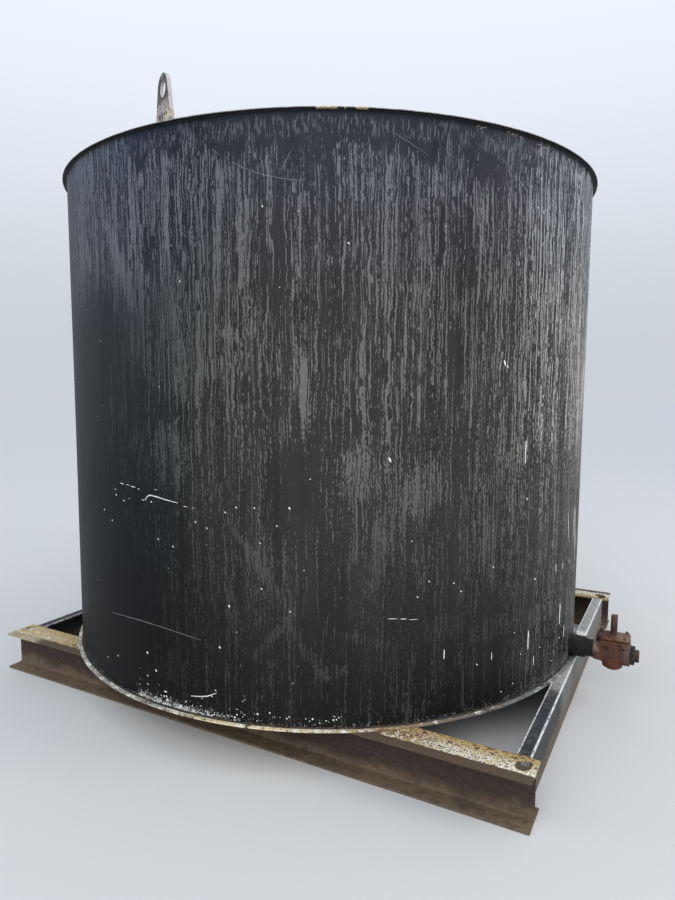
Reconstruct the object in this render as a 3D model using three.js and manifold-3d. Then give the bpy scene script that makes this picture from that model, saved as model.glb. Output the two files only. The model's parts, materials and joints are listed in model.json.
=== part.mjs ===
// A shop-welded vertical storage tank on a steel skid, in millimetres, +Z up.
// The origin is on the tank's axis at ground level, and +X runs along the skid
// towards the outlet valve.
import * as THREE from 'three';
import { mergeVertices } from 'three/addons/utils/BufferGeometryUtils.js';
import Module from 'manifold-3d';

const wasm = await Module();
wasm.setup();

// Gap between two pieces that touch
const gap = 0.3;
// Depth by which joined shapes enter each other and cutters pass a face
const overlap = 1;
// Distance by which the large cutters pass what they cut
const cutterReach = 100;
// Points closer than this are one corner of a solid
const mergeDistance = 1e-4;

// Facets on the round pieces
const fineFacets = 40;
const stemFacets = 32;
const holeFacets = 20;
const arcFacets = 12;
const lugFacets = 14;
const cornerFacets = 4;
const handleFacets = 5;
const handleSteps = 24;
const hexagon = 6;
const square = 4;

// Tank: 9 ft 6 in across and 8 ft high, in 3/16 in plate on a 1/4 in bottom
const shellRadius = 1448;
const shellHeight = 2438;
const plate = 4.76;
const bottomPlateThickness = 6.35;
const bottomProjection = 25;
const roofOverhang = 21;
const roofSlope = 1 / 12;
const shellSegments = 12;
const facetsPerSegment = 8;

// Skid: two 8 in wide-flange runners with 8 in channels across. A runner is one
// beam, drawn in three lengths that meet under the tank.
const skidDepth = 201;
const skidLength = 2915;
const skidCentreX = 57.5;
const runnerY = 1150;
const runnerFlangeWidth = 165;
const runnerFlange = 10.2;
const runnerWeb = 6.2;
const runnerMiddleHalf = 750;
const channelFlangeWidth = 57;
const channelFlange = 9.9;
const channelWeb = 5.6;
const endChannelInset = 35;
const pullHoleInset = 42;
const pullHoleRadius = 23;
const pullHoleOffset = 40;

// Lifting lugs on the roof's rim
const lugRadius = 1416;
const lugShift = 18;
const lugTurn = THREE.MathUtils.degToRad(151.5);
const lugThickness = 16;
const lugHeight = 198;
const lugBase = 180;
const lugHeadRadius = 57;
const lugEyeRadius = 31;
const lugFootDepth = 30;

// Outlet: a 3 in coupling and nipple, then a threaded plug valve with a plug in its far end
const outletHeight = 58;
const couplingRadius = 54;
const couplingBore = 44.75;
const couplingInside = 12;
const couplingReach = 78;
const nippleRadius = 44.45;
const nippleBore = 39;
const nippleStart = 1472;
const valveStart = 1564;
const nippleInValve = 30;
const valveStemX = 1656;
const hubRadius = 50;
const hubEndRadius = 54;
const hubConeLength = 38;
const barrelRadius = 53;
const barrelTopRadius = 57;
const barrelShoulderRadius = 47;
const barrelFootRadius = 29;
const barrelDrop = 84;
const barrelShoulderRise = 12;
const barrelSideRise = 32;
const neckRadius = 52;
const neckLength = 14;
const ringRadius = 57.5;
const ringStart = 1709;
const ringEnd = 1737;
const outletCollarRadius = 47;
const outletCollarEnd = 1758;
const plugHeadRadius = 33;
const plugHeadLength = 20;
const plugShankRadius = 38;
const plugShankLength = 24;
const coverLength = 158;
const coverWidth = 116;
const coverCorner = 30;
const bodyFlangeLow = 44;
const bodyFlangeHigh = 58;
const coverPlate = 12;
const coverNeck = 7;
const coverNeckInset = 7;
const bossRadius = 34;
const bossHeight = 4;
const stemShankRadius = 14;
const stemClearance = 0.6;
const stemShankDepth = 26;
const stemSquare = 30;
const stemHeadGap = 5;
const stemHeadHeight = 96;
const stemChamfer = 3;

// Roof fittings, out of sight from the ground
const hatchX = -900;
const hatchNeckRadius = 109.5;
const hatchNeckWall = 8;
const hatchNeckHeight = 100;
const hatchNeckInside = 30;
const hatchFlangeRadius = 171;
const hatchFlange = 9.5;
const hatchHandleWidth = 120;
const hatchHandleHeight = 45;
const hatchHandleRod = 6;
const hatchHandleBend = 0.7;
const hatchHandleSink = 3;
const ventRadius = 70;
const ventBore = 57.5;
const ventHeight = 60;
const ventInside = 25;
const ventPlugHeadRadius = 30;
const ventPlugHead = 35;
const ventPlugShank = 35;

// Heights and radii that follow
const bottomPlateLow = skidDepth + gap;
const shellFoot = bottomPlateLow + bottomPlateThickness + gap;
const shellTop = shellFoot + shellHeight;
const roofRadius = shellRadius + roofOverhang;
const roofEdgeLow = shellTop + gap - roofOverhang * roofSlope;
const roofApexLow = roofEdgeLow + roofRadius * roofSlope;
const roofThickness = plate;
const tankFacets = shellSegments * facetsPerSegment;
const outletZ = shellFoot + outletHeight;
const skidEndLow = skidCentreX - skidLength / 2;
const skidEndHigh = skidCentreX + skidLength / 2;

const material = (color, roughness, metalness) =>
  new THREE.MeshStandardMaterial({ color, roughness, metalness });

const finishes = {
  shellPaint: material(0x2c2d2d, 0.62, 0.1),
  roofPaint: material(0x303131, 0.65, 0.1),
  bottomEdge: material(0x8f8a7c, 0.8, 0.1),
  skidPaint: material(0xa79f86, 0.8, 0.1),
  channelPaint: material(0x75777a, 0.75, 0.1),
  lugPaint: material(0x3a3232, 0.7, 0.1),
  nozzlePaint: material(0x17181a, 0.55, 0.2),
  rustyIron: material(0x6d4534, 0.9, 0.3),
};

const tank = new THREE.Group();

function addPart(name, geometry, finish) {
  const mesh = new THREE.Mesh(geometry, finish.clone());
  mesh.name = name;
  tank.add(mesh);
  return mesh;
}

// A closed geometry as a solid that can be cut and joined
function toSolid(geometry) {
  const bare = geometry.index ? geometry.toNonIndexed() : geometry.clone();
  bare.deleteAttribute('normal');
  bare.deleteAttribute('uv');
  const merged = mergeVertices(bare, mergeDistance);
  return new wasm.Manifold(new wasm.Mesh({
    numProp: 3,
    vertProperties: new Float32Array(merged.attributes.position.array),
    triVerts: new Uint32Array(merged.index.array),
  }));
}

function toGeometry(solid) {
  const mesh = solid.getMesh();
  const geometry = new THREE.BufferGeometry();
  geometry.setAttribute('position', new THREE.BufferAttribute(new Float32Array(mesh.vertProperties), 3));
  geometry.setIndex(new THREE.BufferAttribute(new Uint32Array(mesh.triVerts), 1));
  const faceted = geometry.toNonIndexed();
  faceted.computeVertexNormals();
  return faceted;
}

const axisX = new THREE.Vector3(1, 0, 0);
const axisY = new THREE.Vector3(0, 1, 0);
const axisZ = new THREE.Vector3(0, 0, 1);

// Extrudes a section drawn in Y and Z along X
function alongX(section, start, end, curveSegments = arcFacets) {
  const settings = { depth: end - start, bevelEnabled: false, curveSegments };
  const geometry = new THREE.ExtrudeGeometry(section, settings);
  geometry.applyMatrix4(new THREE.Matrix4().makeBasis(axisY, axisZ, axisX));
  return geometry.translate(start, 0, 0);
}

// Extrudes a section drawn in X and Z along Y
function alongY(section, start, end, curveSegments = arcFacets) {
  const settings = { depth: end - start, bevelEnabled: false, curveSegments };
  const geometry = new THREE.ExtrudeGeometry(section, settings);
  geometry.applyMatrix4(new THREE.Matrix4().makeBasis(axisX, axisZ, axisY.clone().negate()));
  return geometry.translate(0, end, 0);
}

// Extrudes an outline drawn in X and Y upwards
function upwards(outline, low, high, curveSegments = arcFacets) {
  const settings = { depth: high - low, bevelEnabled: false, curveSegments };
  const geometry = new THREE.ExtrudeGeometry(outline, settings);
  return geometry.translate(0, 0, low);
}

// Turns a profile of [radius, height] points around the Z axis
function turned(profile, facets) {
  const points = profile.map(([radius, height]) => new THREE.Vector2(radius, height));
  return new THREE.LatheGeometry(points, facets).rotateX(Math.PI / 2);
}

// Turns a profile of [radius, x] points around the outlet's axis
function turnedOnOutlet(profile, facets = fineFacets) {
  return turned(profile, facets).rotateY(Math.PI / 2).translate(0, 0, outletZ);
}

function polygon(points) {
  return new THREE.Shape(points.map(([x, y]) => new THREE.Vector2(x, y)));
}

function circle(radius) {
  return new THREE.Shape().absarc(0, 0, radius, 0, 2 * Math.PI, false);
}

function roundedRectangle(length, width, corner) {
  const x = length / 2 - corner;
  const y = width / 2 - corner;
  const shape = new THREE.Shape();
  shape.absarc(x, -y, corner, -Math.PI / 2, 0, false);
  shape.absarc(x, y, corner, 0, Math.PI / 2, false);
  shape.absarc(-x, y, corner, Math.PI / 2, Math.PI, false);
  shape.absarc(-x, -y, corner, Math.PI, 1.5 * Math.PI, false);
  shape.closePath();
  return shape;
}

// Skid runners. Their end lengths have a burned pull hole through the top flange.
function runnerSection(centreY) {
  const half = runnerFlangeWidth / 2;
  const web = runnerWeb / 2;
  const low = runnerFlange;
  const high = skidDepth - runnerFlange;
  return polygon([
    [-half, 0], [half, 0], [half, low], [web, low], [web, high], [half, high],
    [half, skidDepth], [-half, skidDepth], [-half, high], [-web, high], [-web, low], [-half, low],
  ].map(([y, z]) => [y + centreY, z]));
}

function runnerLength(side, start, end) {
  return alongX(runnerSection(side * runnerY), start, end);
}

function runnerEnd(side, start, end, holeX) {
  const drill = upwards(circle(pullHoleRadius), skidDepth - 2 * runnerFlange, skidDepth + overlap)
    .translate(holeX, side * (runnerY - pullHoleOffset), 0);
  return toGeometry(toSolid(runnerLength(side, start, end)).subtract(toSolid(drill)));
}

// A channel across the skid, cut square at the runners' flanges. side is the way its web faces.
function channel(webX, side) {
  const tip = webX - side * channelFlangeWidth;
  const inner = webX - side * channelWeb;
  const section = [
    [webX, 0], [webX, skidDepth], [tip, skidDepth], [tip, skidDepth - channelFlange],
    [inner, skidDepth - channelFlange], [inner, channelFlange], [tip, channelFlange], [tip, 0],
  ];
  const outline = polygon(side > 0 ? section : section.reverse());
  const flangeEnd = runnerY - runnerFlangeWidth / 2 - gap;
  return alongY(outline, -flangeEnd, flangeEnd);
}

for (const [name, side] of [['near', -1], ['far', 1]]) {
  const left = runnerEnd(side, skidEndLow, -runnerMiddleHalf - gap, skidEndLow + pullHoleInset);
  const middle = runnerLength(side, -runnerMiddleHalf, runnerMiddleHalf);
  const right = runnerEnd(side, runnerMiddleHalf + gap, skidEndHigh, skidEndHigh - pullHoleInset);
  addPart(`runner_${name}_left`, left, finishes.skidPaint);
  addPart(`runner_${name}_middle`, middle, finishes.skidPaint);
  addPart(`runner_${name}_right`, right, finishes.skidPaint);
}

const endChannelRight = skidEndHigh - endChannelInset;
const endChannelLeft = skidEndLow + endChannelInset;
const middleChannel = channelFlangeWidth / 2;
addPart('end_channel_left', channel(endChannelLeft, -1), finishes.channelPaint);
addPart('cross_channel_left', channel((endChannelLeft + middleChannel) / 2, 1), finishes.channelPaint);
addPart('cross_channel_middle', channel(middleChannel, 1), finishes.channelPaint);
addPart('cross_channel_right', channel((endChannelRight + middleChannel) / 2, 1), finishes.channelPaint);
addPart('end_channel_right', channel(endChannelRight, 1), finishes.channelPaint);

// Tank bottom, a flat plate that stands proud of the shell all round
const bottomRadius = shellRadius + bottomProjection;
addPart('bottom_plate', turned([
  [0, bottomPlateLow], [bottomRadius, bottomPlateLow],
  [bottomRadius, bottomPlateLow + bottomPlateThickness], [0, bottomPlateLow + bottomPlateThickness],
], tankFacets), finishes.bottomEdge);

// Shell, in segments, the first with a hole for the outlet coupling
const segmentAngle = 2 * Math.PI / shellSegments;
const halfGapAngle = gap / 2 / shellRadius;

function shellSegment(index) {
  const start = (index - 0.5) * segmentAngle + halfGapAngle;
  const end = (index + 0.5) * segmentAngle - halfGapAngle;
  const outline = new THREE.Shape();
  outline.absarc(0, 0, shellRadius, start, end, false);
  outline.absarc(0, 0, shellRadius - plate, end, start, true);
  outline.closePath();
  return upwards(outline, shellFoot, shellTop, facetsPerSegment / 2);
}

const outletHole = turnedOnOutlet([
  [0, shellRadius - cutterReach], [couplingRadius + gap, shellRadius - cutterReach],
  [couplingRadius + gap, shellRadius + cutterReach], [0, shellRadius + cutterReach],
]);

for (let index = 0; index < shellSegments; index++) {
  let geometry = shellSegment(index);
  if (index === 0) geometry = toGeometry(toSolid(geometry).subtract(toSolid(outletHole)));
  addPart(`shell_plate_${String(index + 1).padStart(2, '0')}`, geometry, finishes.shellPaint);
}

// Roof deck, a shallow cone with holes under the hatch and the vent
function roofCone(low, edgeHigh) {
  return turned([
    [0, low], [roofRadius, low - roofRadius * roofSlope],
    [roofRadius, edgeHigh], [0, edgeHigh + roofRadius * roofSlope],
  ], tankFacets);
}

function roofHole(radius) {
  return upwards(circle(radius + gap), shellTop - cutterReach, roofApexLow + cutterReach, holeFacets);
}

const hatchHole = roofHole(hatchNeckRadius).translate(hatchX, 0, 0);
const ventHole = roofHole(ventRadius);
const roofEdgeHigh = roofEdgeLow + roofThickness;
addPart('roof_deck', toGeometry(
  toSolid(roofCone(roofApexLow, roofEdgeHigh)).subtract(toSolid(hatchHole)).subtract(toSolid(ventHole)),
), finishes.roofPaint);

// The height of the roof's upper face at a distance from the axis
function roofTop(radius) {
  return roofEdgeHigh + (roofRadius - radius) * roofSlope;
}

// Lifting lugs, each a plate with a round head and an eye, its foot cut to the roof's slope
function lugOutline() {
  const eyeHeight = lugHeight - lugHeadRadius;
  const half = lugBase / 2;
  const slant = Math.hypot(half, eyeHeight);
  const tangent = Math.atan2(eyeHeight, half) - Math.acos(lugHeadRadius / slant);
  const shape = new THREE.Shape();
  shape.moveTo(-half, -lugFootDepth);
  shape.lineTo(half, -lugFootDepth);
  shape.lineTo(half, 0);
  shape.absarc(0, eyeHeight, lugHeadRadius, -tangent, Math.PI + tangent, false);
  shape.lineTo(-half, 0);
  shape.closePath();
  const eye = new THREE.Path();
  eye.absarc(0, eyeHeight, lugEyeRadius, 0, 2 * Math.PI, true);
  shape.holes.push(eye);
  return shape;
}

const cutterRadius = roofRadius + cutterReach;
const belowLugs = turned([
  [0, shellTop - cutterReach], [cutterRadius, shellTop - cutterReach],
  [cutterRadius, roofTop(cutterRadius) + gap], [0, roofTop(0) + gap],
], tankFacets);

function lug(side) {
  const geometry = new THREE.ExtrudeGeometry(lugOutline(), {
    depth: lugThickness, bevelEnabled: false, curveSegments: lugFacets,
  });
  geometry.translate(0, 0, -lugThickness / 2).rotateX(Math.PI / 2);
  geometry.rotateZ(lugTurn).translate(-side * lugShift, side * lugRadius, roofTop(lugRadius));
  return toGeometry(toSolid(geometry).subtract(toSolid(belowLugs)));
}

addPart('lifting_lug_near', lug(-1), finishes.lugPaint);
addPart('lifting_lug_far', lug(1), finishes.lugPaint);

// Outlet coupling and nipple
function pipe(inner, outer, start, end) {
  return turnedOnOutlet([[inner, start], [outer, start], [outer, end], [inner, end], [inner, start]]);
}

const couplingEnd = shellRadius + couplingReach;
const coupling = pipe(couplingBore, couplingRadius, shellRadius - couplingInside, couplingEnd);
const nipple = pipe(nippleBore, nippleRadius, nippleStart, valveStart + nippleInValve);
addPart('outlet_coupling', coupling, finishes.nozzlePaint);
addPart('outlet_nipple', nipple, finishes.nozzlePaint);

// Valve body: hub, barrel, outlet ring and collar in one casting, with a flange on top
const stemBore = stemShankRadius + stemClearance;
const bodyFlangeTop = outletZ + bodyFlangeHigh;

function onStem(profile, facets = stemFacets) {
  const raised = profile.map(([radius, height]) => [radius, outletZ + height]);
  return turned(raised, facets).translate(valveStemX, 0, 0);
}

function valveBody() {
  const run = turnedOnOutlet([
    [0, valveStart], [hubRadius, valveStart], [hubEndRadius, valveStart + hubConeLength],
    [hubEndRadius, valveStemX], [neckRadius, ringStart - neckLength], [neckRadius, ringStart],
    [ringRadius, ringStart], [ringRadius, ringEnd], [outletCollarRadius, ringEnd],
    [outletCollarRadius, outletCollarEnd], [0, outletCollarEnd],
  ]);
  const barrel = onStem([
    [0, -barrelDrop], [barrelFootRadius, -barrelDrop],
    [barrelShoulderRadius, -barrelDrop + barrelShoulderRise],
    [barrelRadius, -barrelDrop + barrelSideRise], [barrelTopRadius, bodyFlangeLow + overlap],
    [0, bodyFlangeLow + overlap],
  ]);
  const flangeOutline = roundedRectangle(coverLength, coverWidth, coverCorner);
  const flange = upwards(flangeOutline, outletZ + bodyFlangeLow, bodyFlangeTop, cornerFacets)
    .translate(valveStemX, 0, 0);
  const inletSocket = turnedOnOutlet([
    [0, valveStart - overlap], [couplingBore, valveStart - overlap],
    [couplingBore, valveStart + nippleInValve + gap], [0, valveStart + nippleInValve + gap],
  ]);
  const socketEnd = outletCollarEnd - plugShankLength - gap;
  const outletSocket = turnedOnOutlet([
    [0, socketEnd], [plugShankRadius + gap, socketEnd],
    [plugShankRadius + gap, outletCollarEnd + overlap], [0, outletCollarEnd + overlap],
  ]);
  const stemSocket = onStem([
    [0, bodyFlangeHigh - stemShankDepth], [stemBore, bodyFlangeHigh - stemShankDepth],
    [stemBore, bodyFlangeHigh + overlap], [0, bodyFlangeHigh + overlap],
  ]);
  return toGeometry([barrel, flange].reduce((body, piece) => body.add(toSolid(piece)), toSolid(run))
    .subtract(toSolid(inletSocket)).subtract(toSolid(outletSocket)).subtract(toSolid(stemSocket)));
}

addPart('valve_body', valveBody(), finishes.rustyIron);

// Valve cover: two plates with a waist between, and a boss around the stem
const coverLow = bodyFlangeHigh + gap;
const coverTop = coverLow + 2 * coverPlate + coverNeck;
const bossTop = coverTop + bossHeight;

function valveCover() {
  const plateOutline = roundedRectangle(coverLength, coverWidth, coverCorner);
  const waistOutline = roundedRectangle(
    coverLength - 2 * coverNeckInset, coverWidth - 2 * coverNeckInset, coverCorner - coverNeckInset,
  );
  const layer = (outline, low, high) =>
    toSolid(upwards(outline, outletZ + low, outletZ + high, cornerFacets).translate(valveStemX, 0, 0));
  const bore = onStem([
    [0, coverLow - overlap], [stemBore, coverLow - overlap],
    [stemBore, bossTop + overlap], [0, bossTop + overlap],
  ]);
  const boss = onStem([
    [0, coverTop - overlap], [bossRadius, coverTop - overlap], [bossRadius, bossTop], [0, bossTop],
  ]);
  return toGeometry(layer(plateOutline, coverLow, coverLow + coverPlate)
    .add(layer(waistOutline, coverLow + coverPlate - overlap, coverTop - coverPlate + overlap))
    .add(layer(plateOutline, coverTop - coverPlate, coverTop))
    .add(toSolid(boss)).subtract(toSolid(bore)));
}

addPart('valve_cover', valveCover(), finishes.rustyIron);

// Valve stem: a square head for a wrench on a round shank that turns in the cover
function valveStem() {
  const shankLow = bodyFlangeHigh - stemShankDepth + gap;
  const headLow = bossTop + stemHeadGap;
  const headHigh = headLow + stemHeadHeight;
  const shank = onStem([
    [0, shankLow], [stemShankRadius, shankLow],
    [stemShankRadius, headLow + overlap], [0, headLow + overlap],
  ]);
  const corner = stemSquare / Math.SQRT2;
  const head = onStem([
    [0, headLow], [corner, headLow], [corner, headHigh - stemChamfer],
    [corner - stemChamfer, headHigh], [0, headHigh],
  ], square);
  head.translate(-valveStemX, 0, 0).rotateZ(Math.PI / 4).translate(valveStemX, 0, 0);
  return toGeometry(toSolid(shank).add(toSolid(head)));
}

addPart('valve_stem', valveStem(), finishes.rustyIron);

// Plug in the valve's outlet, with a hexagon head
function outletPlug() {
  const shank = turnedOnOutlet([
    [0, outletCollarEnd - plugShankLength], [plugShankRadius, outletCollarEnd - plugShankLength],
    [plugShankRadius, outletCollarEnd + gap + overlap], [0, outletCollarEnd + gap + overlap],
  ]);
  const head = turnedOnOutlet([
    [0, outletCollarEnd + gap], [plugHeadRadius, outletCollarEnd + gap],
    [plugHeadRadius, outletCollarEnd + gap + plugHeadLength], [0, outletCollarEnd + gap + plugHeadLength],
  ], hexagon);
  return toGeometry(toSolid(shank).add(toSolid(head)));
}

addPart('outlet_plug', outletPlug(), finishes.rustyIron);

// Hatch on the roof: a neck with a flange, and a bolted cover with a handle
const hatchDeck = roofTop(-hatchX);
const neckTop = hatchDeck + hatchNeckHeight;
const neckLow = hatchDeck - hatchNeckInside;
const hatchBore = hatchNeckRadius - hatchNeckWall;
addPart('hatch_neck', turned([
  [hatchBore, neckLow], [hatchNeckRadius, neckLow],
  [hatchNeckRadius, neckTop - hatchFlange], [hatchFlangeRadius, neckTop - hatchFlange],
  [hatchFlangeRadius, neckTop], [hatchBore, neckTop], [hatchBore, neckLow],
], fineFacets).translate(hatchX, 0, 0), finishes.roofPaint);

function hatchCover() {
  const low = neckTop + gap;
  const high = low + hatchFlange;
  const disc = turned([[0, low], [hatchFlangeRadius, low], [hatchFlangeRadius, high], [0, high]], fineFacets);
  const half = hatchHandleWidth / 2;
  const bend = hatchHandleBend;
  const route = new THREE.CatmullRomCurve3([
    new THREE.Vector3(0, -half, high - hatchHandleSink),
    new THREE.Vector3(0, -half, high + hatchHandleHeight * bend),
    new THREE.Vector3(0, -half * bend, high + hatchHandleHeight),
    new THREE.Vector3(0, half * bend, high + hatchHandleHeight),
    new THREE.Vector3(0, half, high + hatchHandleHeight * bend),
    new THREE.Vector3(0, half, high - hatchHandleSink),
  ], false, 'centripetal');
  const handle = new THREE.ExtrudeGeometry(circle(hatchHandleRod), {
    steps: handleSteps, extrudePath: route, bevelEnabled: false, curveSegments: handleFacets,
  });
  return toGeometry(toSolid(disc).add(toSolid(handle)).translate([hatchX, 0, 0]));
}

addPart('hatch_cover', hatchCover(), finishes.roofPaint);

// Vent coupling at the roof's top, closed with a square-headed plug
const ventDeck = roofApexLow + roofThickness;
const ventTop = ventDeck + ventHeight;
const ventLow = ventDeck - ventInside;
addPart('vent_coupling', turned([
  [ventBore, ventLow], [ventRadius, ventLow], [ventRadius, ventTop], [ventBore, ventTop], [ventBore, ventLow],
], fineFacets), finishes.roofPaint);

function ventPlug() {
  const shank = turned([
    [0, ventTop - ventPlugShank], [ventBore - gap, ventTop - ventPlugShank],
    [ventBore - gap, ventTop], [0, ventTop],
  ], fineFacets);
  const head = turned([
    [0, ventTop - overlap], [ventPlugHeadRadius, ventTop - overlap],
    [ventPlugHeadRadius, ventTop + ventPlugHead], [0, ventTop + ventPlugHead],
  ], square);
  return toGeometry(toSolid(shank).add(toSolid(head)));
}

addPart('vent_plug', ventPlug(), finishes.roofPaint);

export default tank;
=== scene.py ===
# A black steel storage tank on its skid, dressed for rendering.
# Metres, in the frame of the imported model: +X towards the outlet valve, +Z up.
import json
import math

import bmesh
import bpy
from mathutils import Matrix, Vector, noise


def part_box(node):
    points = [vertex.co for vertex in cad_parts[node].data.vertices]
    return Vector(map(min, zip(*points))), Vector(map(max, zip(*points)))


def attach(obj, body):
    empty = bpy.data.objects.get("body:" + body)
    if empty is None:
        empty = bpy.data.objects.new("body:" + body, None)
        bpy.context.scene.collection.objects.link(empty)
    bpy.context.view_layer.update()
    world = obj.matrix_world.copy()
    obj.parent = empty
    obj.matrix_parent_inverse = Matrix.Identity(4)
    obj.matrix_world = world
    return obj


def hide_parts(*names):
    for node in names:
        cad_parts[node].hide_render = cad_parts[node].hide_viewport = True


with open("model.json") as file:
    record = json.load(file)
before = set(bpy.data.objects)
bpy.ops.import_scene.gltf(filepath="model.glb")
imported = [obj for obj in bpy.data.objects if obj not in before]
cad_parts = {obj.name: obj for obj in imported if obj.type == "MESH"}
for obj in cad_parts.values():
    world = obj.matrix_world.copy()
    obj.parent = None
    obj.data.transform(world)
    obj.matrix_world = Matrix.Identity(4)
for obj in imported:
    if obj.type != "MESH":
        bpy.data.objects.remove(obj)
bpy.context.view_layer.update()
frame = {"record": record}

scene = bpy.context.scene
record = frame["record"]
openings = {item["name"]: item["box_m"] for item in record["physics"]["openings"]}

# Sizes read from the model
shellLow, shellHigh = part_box("shell_plate_01")
roofLow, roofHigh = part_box("roof_deck")
bottomLow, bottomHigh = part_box("bottom_plate")
shellRadius = shellHigh.x
roofRadius = roofHigh.x
roofSlope = 1 / 12
plate = 0.00476
edgeTop = roofLow.z + plate
tiny = 1e-6


def roofTop(radius):
    return edgeTop + (roofRadius - radius) * roofSlope


def middleOf(node):
    return [(low + high) / 2 for low, high in zip(*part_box(node))]


# Where the fittings stand, and the axes that they are turned about
outletZ = middleOf("outlet_coupling")[2]
stemX = middleOf("valve_stem")[0]
hatchX = middleOf("hatch_neck")[0]
outletAxis = Matrix.Translation((0, 0, outletZ)) @ Matrix.Rotation(math.pi / 2, 4, "Y")
stemAxis = Matrix.Translation((stemX, 0, outletZ))
hatchAxis = Matrix.Translation((hatchX, 0, 0))
lugTurn = math.radians(151.5)
lugSeat = roofTop(middleOf("lifting_lug_far")[1])


# Node helpers, for materials and for geometry alike
def plugIn(tree, socket, value):
    if isinstance(value, bpy.types.NodeSocket):
        tree.links.new(value, socket)
    elif value is not None:
        socket.default_value = value


def addNode(tree, kind, inputs=None, **settings):
    made = tree.nodes.new(kind)
    for key, value in settings.items():
        setattr(made, key, value)
    for key, value in (inputs or {}).items():
        plugIn(tree, made.inputs[key], value)
    return made


def calc(tree, operation, first, second=None, third=None, clamp=False):
    made = addNode(tree, "ShaderNodeMath", operation=operation, use_clamp=clamp)
    for socket, value in zip(made.inputs, (first, second, third)):
        plugIn(tree, socket, value)
    return made.outputs[0]


def chained(tree, operation, first, *others):
    for other in others:
        first = calc(tree, operation, first, other)
    return first


def times(tree, *values):
    return chained(tree, "MULTIPLY", *values)


def plus(tree, *values):
    return chained(tree, "ADD", *values)


def minus(tree, first, second):
    return calc(tree, "SUBTRACT", first, second)


def larger(tree, *values):
    return chained(tree, "MAXIMUM", *values)


# The base, moved up and down by a noise whose mean is a half
def about(tree, value, amount, base):
    return calc(tree, "MULTIPLY_ADD", minus(tree, value, 0.5), amount, base)


# Goes smoothly from base to top while value goes from low to high
def rise(tree, value, low, high, base=0.0, top=1.0):
    made = addNode(tree, "ShaderNodeMapRange", interpolation_type="SMOOTHSTEP")
    for key, setting in (("Value", value), ("From Min", low), ("From Max", high),
                         ("To Min", base), ("To Max", top)):
        plugIn(tree, made.inputs[key], setting)
    return made.outputs[0]


# 1 between two values, 0 outside, with soft ends
def span(tree, value, low, high, soft):
    up = rise(tree, value, low - soft, low + soft)
    down = rise(tree, value, high + soft, high - soft)
    return times(tree, up, down)


def mixColour(tree, share, first, second, how="MIX"):
    made = addNode(tree, "ShaderNodeMix", data_type="RGBA", blend_type=how)
    plugIn(tree, made.inputs[0], share)
    plugIn(tree, made.inputs[6], first if isinstance(first, bpy.types.NodeSocket) else (*first, 1.0))
    plugIn(tree, made.inputs[7], second if isinstance(second, bpy.types.NodeSocket) else (*second, 1.0))
    return made.outputs[2]


def scaled(tree, where, scale, shift=(0, 0, 0)):
    inputs = {"Vector": where, "Scale": scale, "Location": shift}
    return addNode(tree, "ShaderNodeMapping", inputs).outputs[0]


def grain(tree, where, scale, detail=3.0, rough=0.5, distortion=0.0):
    return addNode(tree, "ShaderNodeTexNoise", {
        "Vector": where, "Scale": scale, "Detail": detail, "Roughness": rough,
        "Distortion": distortion}).outputs["Fac"]


# Gives a number for a length, a distance or a dot product, and a vector for anything else
def vectorCalc(tree, operation, first, second=None):
    made = addNode(tree, "ShaderNodeVectorMath", {0: first, 1: second}, operation=operation)
    return made.outputs["Value" if operation in ("LENGTH", "DISTANCE", "DOT_PRODUCT") else "Vector"]


# Moves the sampling point about, so that a pattern wobbles
def wobbled(tree, where, scale, amount):
    push = addNode(tree, "ShaderNodeTexNoise", {"Vector": where, "Scale": scale, "Detail": 3.0})
    centred = vectorCalc(tree, "SUBTRACT", push.outputs["Color"], (0.5, 0.5, 0.5))
    return vectorCalc(tree, "ADD", where, vectorCalc(tree, "MULTIPLY", centred, amount))


def splitUp(tree, where):
    return addNode(tree, "ShaderNodeSeparateXYZ", {"Vector": where}).outputs


def joinUp(tree, **parts):
    return addNode(tree, "ShaderNodeCombineXYZ", parts).outputs[0]


# The angle round the tank's axis, which runs back on the far side, so that it has no jump anywhere
def turnAt(tree, where, middle=math.radians(-60)):
    outwards = vectorCalc(tree, "NORMALIZE", scaled(tree, where, (1.0, 1.0, 0.0)))
    across = vectorCalc(tree, "DOT_PRODUCT", outwards, (-math.sin(middle), math.cos(middle), 0.0))
    return plus(tree, calc(tree, "ARCSINE", across), middle)


def facingOf(tree):
    return addNode(tree, "ShaderNodeNewGeometry").outputs["Normal"]


# A new material with its tree and the object coordinates
def startMaterial(name):
    material = bpy.data.materials.new(name)
    material.use_nodes = True
    tree = material.node_tree
    return material, tree, addNode(tree, "ShaderNodeTexCoord").outputs["Object"]


# Plugs the finished colour, roughness, gloss and relief into the shader
def endMaterial(material, colour, roughness, gloss, relief, depth, strength):
    tree = material.node_tree
    shader = tree.nodes["Principled BSDF"]
    bump = addNode(tree, "ShaderNodeBump", {"Height": relief, "Distance": depth, "Strength": strength})
    for name, value in (("Base Color", colour), ("Roughness", roughness), ("Specular IOR Level", gloss),
                        ("Normal", bump.outputs[0])):
        plugIn(tree, shader.inputs[name], value)
    return material


# 1 on an edge that stands out, from the normal turned by a round of that radius
def edgeWear(tree, radius, low=0.02, high=0.12):
    soft = addNode(tree, "ShaderNodeBevel", {"Radius": radius}, samples=6).outputs[0]
    return rise(tree, vectorCalc(tree, "DOT_PRODUCT", soft, facingOf(tree)), 1 - low, 1 - high)


# Soil caked on the lowest part, up to an uneven line
def cakedOn(tree, cloud, mottle, z, high, low, least):
    drift = about(tree, cloud, 0.16, z)
    return times(tree, rise(tree, drift, high, low), rise(tree, mottle, 0.30, 0.60, least, 1.0))


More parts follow.
